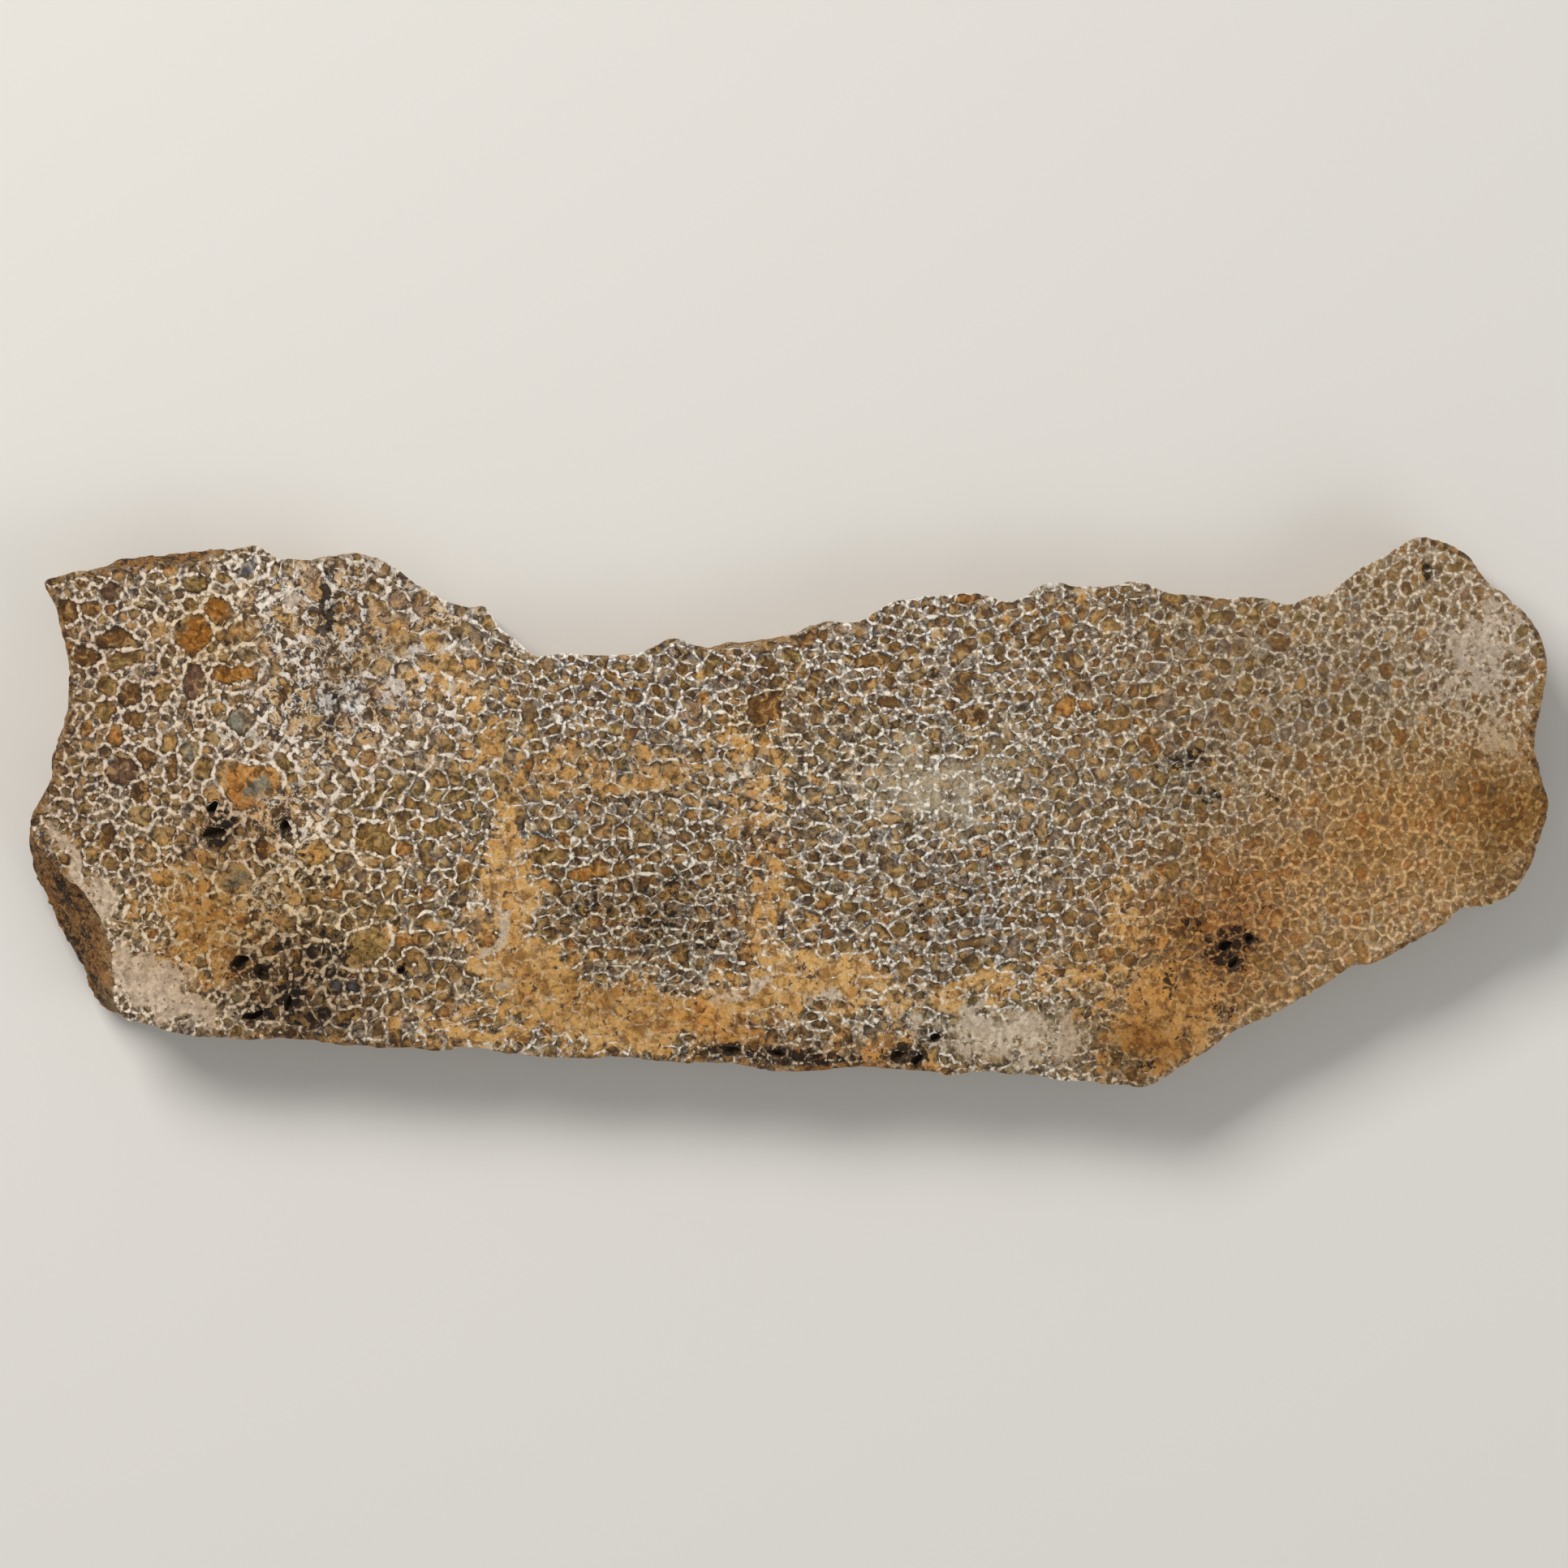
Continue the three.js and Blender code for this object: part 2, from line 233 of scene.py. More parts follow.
# Where the face's rim is stained brown like the broken edge.
RIM_ZONE = [
    (-97, 14, 7, 26, 0, 1),
    (-84, 34, 16, 5, 5, 0.8),
    (-58, 34, 12, 4, 0, 0.5),
    (-22, 24, 10, 4, 0, 0.6),
    (-2, 24, 10, 4, 10, 0.6),
    (-6, -34, 40, 4, -3, 0.7),
    (-60, -29, 24, 4, -3, 0.7),
    (98, 8, 6, 26, 0, 0.8),
    (80, -22, 24, 8, 28, 0.6),
    (88, 34, 8, 6, 0, 0.6),
]

# Where the broken edge is the bone's natural outer skin.
SKIN_ZONE = [
    (-96, -14, 6, 16, 15, 1),
    (-83, 34, 11, 3, 5, 0.8),
    (-97, 8, 2.5, 12, 0, 0.6),
]

# Where the walls and fills change colour: the same blots, with a colour at the end.
WALL_TINTS = [
    (-78, 12, 24, 30, 0, 1, CREAM),
    (-78, -24, 16, 8, 0, 1, CREAM),
    (76, 14, 22, 18, 0, 0.9, TAN_WALL),
    (78, -6, 20, 9, 24, 2, PEACH_WALL),
    (58, -20, 12, 8, 32, 1.6, PEACH_WALL),
    (92, 20, 7, 10, 0, 1, CREAM),
]

FILL_TINTS = [
    (-50, -4, 12, 14, 0, 0.9, OLIVE),
    (-62, 20, 13, 12, 0, 0.9, TAN),
    (-84, 8, 12, 24, 0, 0.5, TAN),
    (-66, -8, 14, 14, 0, 0.5, TAN),
    (-48, 18, 9, 8, 0, 0.8, TAN),
    (-76, -10, 9, 8, 0, 0.7, TAN),
    (18, 3.5, 13, 6, 0, 0.9, PALE_FILL),
    (-22, 4, 12, 5, 0, 0.6, TAN),
    (-64, -23, 9, 6, 0, 1, UMBER),
    (78, 22, 14, 10, 0, 0.5, UMBER),
    (80, -5, 18, 8, 24, 1.4, PEACH),
    (58, -20, 12, 8, 32, 1.2, PEACH),
    (30, -29, 14, 5, 0, 0.8, PALE_FILL),
]

# Broad stains: x, y, half length, half width, turn in degrees and what the colour is multiplied by.
STAINS = [
    (-88, 14, 14, 24, 5, (0.87, 0.83, 0.80)),
    (-96, 14, 5, 22, 0, (0.84, 0.76, 0.66)),
    (-73, -2, 6, 5, 0, (0.72, 0.62, 0.52)),
    (-64, -24, 10, 7, -30, (0.56, 0.47, 0.36)),
    (-66, -13, 20, 12, 0, (0.88, 0.78, 0.58)),
    (-76, -14, 8, 8, 0, (0.76, 0.69, 0.55)),
    (-81, -23, 8, 5, -14, (0.98, 0.97, 0.98)),
    (-60, 22, 14, 11, 0, (0.84, 0.83, 0.82)),
    (-20, -13, 14, 7, 0, (0.84, 0.78, 0.68)),
    (-50, -8, 9, 13, 0, (1.12, 1.13, 1.18)),
    (-46, -22, 10, 6, 0, (0.94, 0.90, 0.84)),
    (-38, 10, 8, 6, 0, (0.90, 0.90, 0.90)),
    (-24, 4.5, 14, 4, 0, (0.86, 0.80, 0.71)),
    (-24, -25, 20, 5, -5, (0.80, 0.73, 0.60)),
    (-11, -26.5, 3.2, 2.2, 20, (1.14, 0.92, 0.56)),
    (-4, 13, 6, 5, 0, (0.94, 0.84, 0.66)),
    (-4, -10, 4, 12, 0, (0.94, 0.86, 0.76)),
    (70, 16, 10, 6, 20, (0.83, 0.85, 0.90)),
    (52, 4, 7, 5, -30, (0.86, 0.90, 0.94)),
    (26, -14, 9, 7, 30, (0.88, 0.90, 0.94)),
    (57, -18, 7, 6, 30, (0.74, 0.62, 0.46)),
    (50, -18, 10, 10, 0, (0.94, 0.80, 0.58)),
    (60, -12, 8, 6, 30, (0.98, 0.86, 0.70)),
    (80, 0, 20, 9, 20, (0.95, 0.80, 0.54)),
    (94, -1, 6.5, 10, 0, (0.56, 0.45, 0.22)),
    (46, -31, 8, 6, 0, (0.57, 0.44, 0.24)),
    (48, -31.5, 4.5, 3, 0, (0.82, 0.72, 0.56)),
    (10, -32.5, 14, 2.8, -4, (0.74, 0.56, 0.36)),
    (-6, -30, 9, 2.5, -4, (0.80, 0.68, 0.50)),
    (-60, 14, 4, 7, 0, (0.84, 0.87, 0.92)),
    (-68, 30, 6, 5, 0, (1.14, 1.20, 1.28)),
    (-51, 15, 4, 3, 0, (1.12, 1.20, 1.34)),
    (16, 4, 12, 5, 0, (1.06, 1.06, 1.04)),
    (30, -29, 12, 5, -4, (0.92, 0.90, 0.85)),
    (32, 2, 24, 12, 0, (1.04, 1.05, 1.07)),
    (82, 10, 14, 12, 0, (0.96, 0.98, 1.01)),
    (91, 18, 7, 8, 0, (0.88, 0.90, 0.93)),
    (-76, 23, 6, 6, 0, (0.94, 0.84, 0.64)),
    (-8, 19, 36, 8, 4, (1.12, 1.13, 1.18)),
]

# ---- the larger cells, placed one by one -----------------
# x, y, length, width, turn in degrees, colour of the middle, colour near the wall (mostly darker there,
# as painted shade)

POCKETS = [
    (-77.7, 23.2, 4, 5, 0, AMBER, BROWN),
    (-78.9, 24.5, 1.5, 2.2, 0, TAN, UMBER),
    (-77.9, 27.2, 2.2, 2, 0, OLIVE, UMBER),
    (-74.6, 26.5, 3.6, 2.8, 0, AMBER, UMBER),
    (-72.4, 18.1, 6, 2.4, 12, AMBER, UMBER),
    (-70.6, 18.6, 2, 1.6, 12, ORANGE, AMBER),
    (-77.5, 16.9, 2.6, 4.5, 0, PURPLE, UMBER),
    (-82.1, 23.9, 2.2, 2.2, 0, TAN, OCHRE),
    (-87.7, 22.6, 5.6, 2.2, -5, BROWN, UMBER),
    (-91.4, 20.2, 2.8, 2.4, 15, BROWN, UMBER),
    (-86.8, 19.9, 4.1, 2.2, 15, OLIVE, BROWN),
    (-88.7, 28.6, 2.1, 1.9, 10, PURPLE, UMBER),
    (-94, 26.3, 2.5, 3.6, 8, BROWN, UMBER),
    (-91.1, 26.7, 2.8, 2.1, -8, BROWN, UMBER),
    (-85.9, 15.3, 2.5, 3.2, 8, BROWN, UMBER),
    (-88.7, 16.6, 2, 2.7, 15, OLIVE, BROWN),
    (-81.6, 15.5, 2, 2.2, -10, OLIVE, BROWN),
    (-89.3, 13.1, 2, 3, -8, OLIVE, BROWN),
    (-85.4, 12.2, 3, 2.1, -18, BROWN, UMBER),
    (-87.5, 10.1, 2.1, 2.7, 4, ORANGE, BROWN),
    (-84.7, 9.9, 2, 1.4, -5, TAN, OLIVE),
    (-80.9, 9.2, 1.9, 2.7, 15, OCHRE, OLIVE),
    (-84, 7.2, 1.9, 2.9, 25, BROWN, UMBER),
    (-86.9, 5.4, 3.5, 3.5, 0, PURPLE, UMBER),
    (-84.7, 2.5, 2.5, 2.4, 0, UMBER, BROWN),
    (-78.1, 7.8, 2, 3.4, 0, GREY, OLIVE),
    (-80.2, 5.5, 1.3, 3.7, -8, BROWN, UMBER),
    (-76.8, 5.7, 1.2, 2.6, -10, BROWN, OLIVE),
    (-75.3, 9.9, 2, 1.8, 0, TAN, OLIVE),
    (-70.3, 3.4, 7, 6.2, 0, ORANGE, OCHRE),
    (-69, 3.3, 3.8, 2.9, 10, GREY, OLIVE),
    (-75, 1.9, 2.4, 2.8, 20, OCHRE, TAN),
    (-71.8, 12.1, 3.2, 3.4, 0, GREY, UMBER),
    (-74.2, 13.5, 1.9, 1.8, 0, OCHRE, OLIVE),
    (-80.7, 31.9, 2.2, 1.8, 0, ORANGE, TAN),
    (-70.4, 31.6, 2, 2.1, 0, BLUE_GREY, GREY),
    (-77.6, 29.8, 3.2, 1.9, -8, OLIVE, UMBER),
    (-68.3, -5, 2.5, 1.7, 22, AMBER, BLACK),
    (-81.3, -3, 2.4, 2.7, 0, TAN, OLIVE),
    (-84.5, -0.3, 2.9, 2.5, 0, TAN, OLIVE),
    (-89.1, -3, 1.5, 3, -8, BROWN, UMBER),
    (-87.1, -5.3, 1.4, 1.3, 0, OLIVE, UMBER),
    (-88.4, -6.9, 1.4, 2, 30, OLIVE, BROWN),
    (-83.5, -5.5, 2.6, 2, 0, TAN, OLIVE),
    (-81.8, -8.7, 2.4, 1.8, 0, AMBER, OLIVE),
    (-79, -15.4, 1.7, 1.5, 0, OLIVE, BROWN),
    (-83, -15.9, 1.4, 1.3, 0, ORANGE, BROWN),
    (-71, -14.3, 1.7, 1.5, 0, PURPLE, BROWN),
    (-69.2, -16.3, 1.6, 1.2, 15, PURPLE, BROWN),
    (-67.1, -17.9, 2.1, 1.9, 0, OLIVE, BROWN),
    (-72, -24.2, 1.9, 1.8, 0, GREY, OLIVE),
    (-71.7, -8.6, 3, 3.6, 0, GREY, TAN),
    (-62.3, -5.4, 4.2, 3.2, 10, OCHRE, OLIVE),
    (-55.2, -17.9, 6.4, 4.2, 32, OLIVE, TAN),
    (-59.2, -22.7, 1.7, 1.6, 0, BLUE_GREY, BLACK),
    (-56.8, -22.8, 1.6, 1.6, 0, BLUE_GREY, BLACK),
    (36.6, 13.6, 2.3, 2, 0, ORANGE, BROWN),
    (39, 13.7, 1.9, 1.7, 0, ORANGE, BROWN),
    (24.5, 12.6, 3.1, 2.6, -10, UMBER, BROWN),
    (10.9, 19.9, 3.6, 1.6, 0, BROWN, UMBER),
    (13.6, 14.5, 2.8, 1.5, 0, BROWN, UMBER),
    (-2.9, 13.4, 4, 3.6, 10, BROWN, UMBER),
    (-25.7, -7.8, 4.9, 2, 8, AMBER, BROWN),
    (-30.6, -5.8, 3.2, 2.1, 0, OLIVE, BROWN),
    (-45.4, -2, 2.8, 2.2, 0, OLIVE, BROWN),
    (-53.5, -3.5, 3, 4.4, 35, OLIVE, BROWN),
    (64.5, 22, 1.7, 1.5, 0, BROWN, UMBER),
    (60, 16.6, 1.7, 1.7, 0, OLIVE, BROWN),
    (67.3, 16.7, 1.8, 2.3, -10, OCHRE, BROWN),
    (73.3, 13.9, 1.1, 2.1, 0, OLIVE, BROWN),
    (74.7, 12.4, 1.6, 2, 20, BROWN, UMBER),
    (75.6, 14.7, 1.5, 1.5, 0, OLIVE, BROWN),
    (76.9, 8.8, 1.7, 2.1, -15, BROWN, UMBER),
]

# ---- how the cells change along the slab -----------------
# Stations: x, cell length along x, cell length along y, share of the junctions that hold a small cell,
# half the wall's width, share of the walls that are missing, softness. The cells are round and mixed at
# the wide end, long in the middle, and small, upright and soft at the narrow end.

STATIONS = [
    (-100, 2.05, 2.10, 0.40, 0.112, 0.08, 0.0),
    (-74, 2.15, 2.10, 0.40, 0.115, 0.10, 0.0),
    (-62, 2.20, 2.10, 0.30, 0.125, 0.12, 0.0),
    (-50, 2.50, 2.00, 0.16, 0.138, 0.14, 0.0),
    (-34, 2.55, 1.70, 0.12, 0.145, 0.14, 0.0),
    (-10, 2.55, 1.42, 0.10, 0.150, 0.13, 0.0),
    (22, 2.50, 1.36, 0.10, 0.150, 0.13, 0.05),
    (48, 2.05, 1.40, 0.06, 0.134, 0.14, 0.25),
    (66, 1.52, 1.48, 0.04, 0.125, 0.12, 0.65),
    (84, 1.26, 1.72, 0.02, 0.145, 0.10, 0.9),
    (101, 1.22, 1.82, 0.00, 0.155, 0.10, 1.0),
]

CELL_LENGTH, CELL_WIDTH, SMALL_CELLS, HALF_WALL, MISSING, SOFTNESS = range(6)  # what at_stations gives

SEED = 11
noise.seed_set(SEED)  # without this, noise_vector gives something else each run

# The spread of the cells
REACH_X = 104  # the cells are spread this far from the middle of the slab, and then left out ...
REACH_Y = 39
COUNTS_PER_MM = 10
BEYOND = 2.6  # ... where they are further than this from the outline
ROWS = 40
LATTICE_ROW = 0.87  # how far apart the rows are, as a share of the cell
JITTER = 0.46  # how far a cell's middle strays from an even spread, as a share of the cell
THINNED = 0.13  # share of the cells left out, so that their neighbours grow
FLOW_BEND = 0.0022  # past FLOW_START, the rows of cells rise by this times x squared
FLOW_START = -20.0
SWIRL = (2.0, 8.0, 0.3)  # how far the spread is pushed about, over what length, and a level of the noise
WIGGLE = (0.5, 1.9, 5.5)  # the same for all points of the network afterwards, which bends the walls
SMALL_CELL_ROOM = (0.75, 3.0)  # how far the cells round a junction are from it, for a small cell there

# The walls
WALL_SPREAD = (0.75, 1.3)  # how much thinner and thicker than at the station a wall may be
WALL_LIGHT = 0.7  # below 1, more of the walls are light
WALL_BEND = 0.16  # how far a wall's middle strays, as a share of its length
SHORT_WALL = 0.75  # a wall shorter than this stays straight
THINNEST = 0.01
NARROWEST_GAP = 0.1  # and a wall takes up half the gap between two cells at most
TINY = 1e-6  # keeps a division by a length from failing
STREAKING = 1.3  # in stretched cells, how much thinner the walls are that run across the slab
TORN_THINNING = 0.5  # where the bone is torn: share of the cells left out,
TORN_MISSING = 0.12  # share of the walls missing besides,
TORN_THICKENING = 2.4  # and how much thicker a wall may be
ROUNDING = ((-60.0, 0.16), (-40.0, 0.07))  # x, how much further a cell's corners are drawn in
CORNER_REACH = 1.25  # how far a corner is drawn in, as a share of the wall there, and at most
CORNER_LIMIT = 0.55  # as a share of the way to the cell's middle
RIM_HIGHLIGHT = (0.4, 3.0, 7.0)  # a painted highlight, a pale line along the upper rim: height, length, noise's level
RIM_LIGHT = 0.8  # how light the walls are at the rim
RIM_NEIGHBOURS = 7  # how many cells are looked through for the two that meet there

# Depths inside the cells
DEEPEST = 2.0
OPEN_DEPTH = 0.8  # in the middle of a cell that has no walls
LEAST_DEPTH = 0.15  # in the middle of any cell
GAP_DEPTH = 0.3  # where a wall is missing
BARE_DEPTH = 0.35  # where the walls round a junction are missing

# The cells placed one by one
POCKET_STEP = 0.62  # spacing of the points that fill a placed cell
POCKET_INSET = 0.30
POCKET_CLEARANCE = 0.3  # how far round it other points are left out
POCKET_WOBBLE = 0.22  # how far its outline strays, as a share of its size
POCKET_LOBES = 1.3
PLACED = 100000  # the owners of placed and of small cells are numbered from here
FILLED = 200000

STRAY_REACH = 3.0  # how far the outlines of the coloured areas stray, in mm, and over what length
STRAY_LENGTH = 4.5
TINT_WEIGHT = 6.0  # how firmly a tint covers the base colour at its middle

# How the cells' colours vary: which draw decides, where its effect starts and is full, how far the
# colour turns, and towards what.
CELL_TURNS = [
    (0, 0.35, 0.9, 0.75, SANDY),
    (1, 0.72, 0.95, 0.5, UMBER),
    (2, 0.84, 0.94, 0.6, RUST),
    (3, 0.55, 0.8, 0.6, OLIVE),
    (3, 0.12, 0.04, 0.6, DUSK),
]
SIDE_SHADE = (0.58, 0.3)  # painted shade on a cell beside its wall: how light at least, and how much lighter by chance
SIDE_TURN = (0.4, 0.2, 0.45)  # where the painted shade's turn to slate starts and is full, and how far it turns


# ---- fields ----------------------------------------------

def in_ellipse(points, x, y, half_length, half_width, turn):
    """Each point's place along and across an ellipse, in shares of its half length and half width."""
    angle = math.radians(turn)
    away_x, away_y = points[:, 0] - x, points[:, 1] - y
    along = (away_x * math.cos(angle) + away_y * math.sin(angle)) / half_length
    across = (away_y * math.cos(angle) - away_x * math.sin(angle)) / half_width
    return along, across


def blot(points, ellipse):
    """1 at the middle of an ellipse, falling smoothly to nothing outside it. Points are in mm."""
    along, across = in_ellipse(points, *ellipse)
    return np.exp(-(along ** 2 + across ** 2))


def zone(points, blots):
    """The strongest of a list of blots at each point."""
    strongest = np.zeros(len(points))
    for *ellipse, strength in blots:
        strongest = np.maximum(strongest, strength * blot(points, ellipse))
    return strongest


def tint(points, base, blots):
    """A base colour, turned smoothly to the colours of the blots."""
    weight = np.ones(len(points))
    colour = np.tile(np.array(base), (len(points), 1))
    for *ellipse, strength, shade in blots:
        share = TINT_WEIGHT * strength * blot(points, ellipse)
        weight += share
        colour += share[:, None] * np.array(shade)
    return colour / weight[:, None]


def pocket_depth(points, x, y, length, width, turn):
    """How far inside an ellipse each point lies, in mm; negative outside."""
    along, across = in_ellipse(points, x, y, length / 2, width / 2, turn)
    reach = np.maximum(np.hypot(along, across), TINY)
    steepness = np.hypot(along / (length / 2), across / (width / 2)) / reach + TINY
    return (1 - reach) / steepness


def stain(points):
    """What the bone's colour is multiplied by: 1 where it is neither darker, lighter nor tinted."""
    amount = np.ones((len(points), 3))
    for *ellipse, colour in STAINS:
        share = blot(points, ellipse)
        amount *= 1 + share[:, None] * (np.array(colour) - 1)
    return amount


def at_stations(x):
    """The stations' values at each x."""
    stations = np.array(STATIONS, float)
    return [np.interp(x, stations[:, 0], values) for values in stations[:, 1:].T]


# ---- the network of cells --------------------------------
# The cells are the regions nearest to scattered points. Their walls are where the regions meet. Each
# point of the network gets its height in the wall, in mm: positive in a wall, negative in a cell.

ALONG = np.linspace(-REACH_X, REACH_X, 2 * REACH_X * COUNTS_PER_MM + 1)
COUNTED = np.cumsum((ALONG[1] - ALONG[0]) / at_stations(ALONG)[CELL_LENGTH])  # the cells before each x


def flow(x):
    """How far the rows of cells have risen at each x."""
    return FLOW_BEND * np.maximum(x, FLOW_START) ** 2


def in_cells(points):
    """Points counted in cells instead of mm. There every cell is as long as it is wide."""
    x, y = points.T
    return np.column_stack([np.interp(x, ALONG, COUNTED), (y - flow(x)) / at_stations(x)[CELL_WIDTH]])


def in_mm(points):
    """Points counted in mm again."""
    x = np.interp(points[:, 0], COUNTED, ALONG)
    return np.column_stack([x, points[:, 1] * at_stations(x)[CELL_WIDTH] + flow(x)])


def pushed(points, reach, length, level):
    """Points pushed about by smooth noise."""
    pushes = [noise.noise_vector(Vector((x / length, y / length, level))) for x, y in points]
    return points + reach * np.array(pushes)[:, :2]


def spread_points(rng, near):
    """An uneven spread of cell middles, as far apart as the stations say."""
    columns = np.arange(1, int(COUNTED[-1]))
    rows = np.arange(-ROWS, ROWS + 1)
    column, row = [grid.ravel() for grid in np.meshgrid(columns, rows)]
    stray = rng.uniform(-JITTER, JITTER, (2, len(column)))
    counted = [column + 0.5 * (row % 2) + stray[0], (row + stray[1]) * LATTICE_ROW]
    points = in_mm(np.column_stack(counted))
    points = points[(np.abs(points[:, 1]) < REACH_Y) & (rng.random(len(points)) > THINNED)]
    points = pushed(points, *SWIRL)
    torn = zone(points, CHAOS_ZONE)
    return points[near(points) & (rng.random(len(points)) > TORN_THINNING * torn)]


def pocket_points(number, x, y, length, width, turn):
    """Points that fill a placed cell, ring inside ring."""
    rings = []
    inset = POCKET_INSET
    while inset < min(length, width) / 2:
        half_length, half_width = length / 2 - inset, width / 2 - inset
        count = max(int(math.pi * (half_length + half_width) / POCKET_STEP), 1)
        for step in range(count):
            angle = 2 * math.pi * step / count + inset
            cosine, sine = math.cos(angle), math.sin(angle)
            wobble = noise.noise(Vector((cosine * POCKET_LOBES, sine * POCKET_LOBES, number)))
            reach = 1.0 + POCKET_WOBBLE * wobble
            rings.append((half_length * reach * cosine, half_width * reach * sine))
        inset += POCKET_STEP
    along, across = np.array(rings).T
    cosine, sine = math.cos(math.radians(turn)), math.sin(math.radians(turn))
    return np.column_stack([x + along * cosine - across * sine, y + along * sine + across * cosine])


def placed_cells(points):
    """Makes room for the cells placed one by one, and fills each with points that belong together."""
    owner = np.arange(len(points))
    pocket_of = np.full(len(points), -1)
    for number, (*shape, _, _) in enumerate(POCKETS):
        middle = np.array([shape[:2]])
        if any(pocket_depth(middle, *other[:5])[0] > 0 for other in POCKETS[:number]):
            continue
        clear = pocket_depth(points, *shape) < -POCKET_CLEARANCE
        placed = pocket_points(number, *shape)
        points = np.vstack([points[clear], placed])
        owner = np.concatenate([owner[clear], np.full(len(placed), PLACED + number)])
        pocket_of = np.concatenate([pocket_of[clear], np.full(len(placed), number)])
    return points, owner, pocket_of


def triangles_of(points):
    """Triangles between the middles of neighbouring cells."""
    _, _, faces, origins, _, _ = delaunay_2d_cdt([Vector(p) for p in points], [], [], 0, DIVIDED)
    back = np.array([origin[0] for origin in origins])
    return back[np.array(faces)]


def junctions_of(points, triangles):
    """Where three cells meet: the middle of the circle through each triangle."""
    a, b, c = (points[triangles[:, corner]] for corner in range(3))
    ab, ac = b - a, c - a
    cross = 2 * (ab[:, 0] * ac[:, 1] - ab[:, 1] * ac[:, 0])
    cross = np.where(np.abs(cross) < DIVIDED, DIVIDED, cross)
    ab_square, ac_square = (ab ** 2).sum(1), (ac ** 2).sum(1)
    x = (ac[:, 1] * ab_square - ab[:, 1] * ac_square) / cross
    y = (ab[:, 0] * ac_square - ac[:, 0] * ab_square) / cross
    return a + np.column_stack([x, y])


def sides_of(triangles):
    """The pairs of neighbouring cells, and the two junctions at the ends of the wall between them."""
    pairs = np.vstack([triangles[:, [0, 1]], triangles[:, [1, 2]], triangles[:, [2, 0]]])
    pairs = np.sort(pairs, axis=1)
    triangle = np.tile(np.arange(len(triangles)), 3)
    order = np.lexsort((pairs[:, 1], pairs[:, 0]))
    pairs, triangle = pairs[order], triangle[order]
    first = np.flatnonzero((pairs[1:] == pairs[:-1]).all(1))
    return pairs[first], triangle[first], triangle[first + 1]


def cell_colours(rng, points, owner, pocket_of):
    """The colours of each cell: in its middle, and near its wall, where most cells are darker and greyer
    as painted shade.
    """
    _, group = np.unique(owner, return_inverse=True)
    chance = rng.random((group.max() + 1, 4))[group]

    def turned(colour, target, draw, low, high, share):
        ramp = np.clip((chance[:, draw] - low) / (high - low), 0, 1)
        share = share * (ramp * ramp * (3 - 2 * ramp))
        return colour + (np.array(target) - colour) * share[:, None]

    middle = tint(points, BROWN, FILL_TINTS)
    for draw, low, high, share, target in CELL_TURNS:
        middle = turned(middle, target, draw, low, high, share)
    # Painted shade: beside its wall a cell is darker, and some cells turn towards slate grey.
    least, more = SIDE_SHADE
    side = turned(middle * (least + more * chance[:, 1])[:, None], SLATE, 2, *SIDE_TURN)
    for number, (*shape, middle_colour, side_colour) in enumerate(POCKETS):
        own = (pocket_of == number) | ((pocket_of >= 0) & (pocket_depth(points, *shape) > 0))
        middle[own] = middle_colour
        side[own] = side_colour
    return middle, side


def meetings(points):
    """The triangles between neighbouring cells, and the junctions where their walls meet."""
    even = in_cells(points)
    triangles = triangles_of(even)
    return triangles, in_mm(junctions_of(even, triangles))


def with_small_cells(rng, near, points, owner, pocket_of):
    """Adds a small cell at some of the junctions."""
    triangles, junctions = meetings(points)
    room = np.linalg.norm(junctions - points[triangles[:, 0]], axis=1)
    share = at_stations(junctions[:, 0])[SMALL_CELLS]
    same = (owner[triangles] == owner[triangles[:, :1]]).sum(1) > 1
    filled = (rng.random(len(junctions)) < share) & ~same & near(junctions)
    filled &= (room > SMALL_CELL_ROOM[0]) & (room < SMALL_CELL_ROOM[1])
    points = np.vstack([points, junctions[filled]])
    owner = np.concatenate([owner, FILLED + np.arange(filled.sum())])
    pocket_of = np.concatenate([pocket_of, np.full(filled.sum(), -1)])
    return points, owner, pocket_of


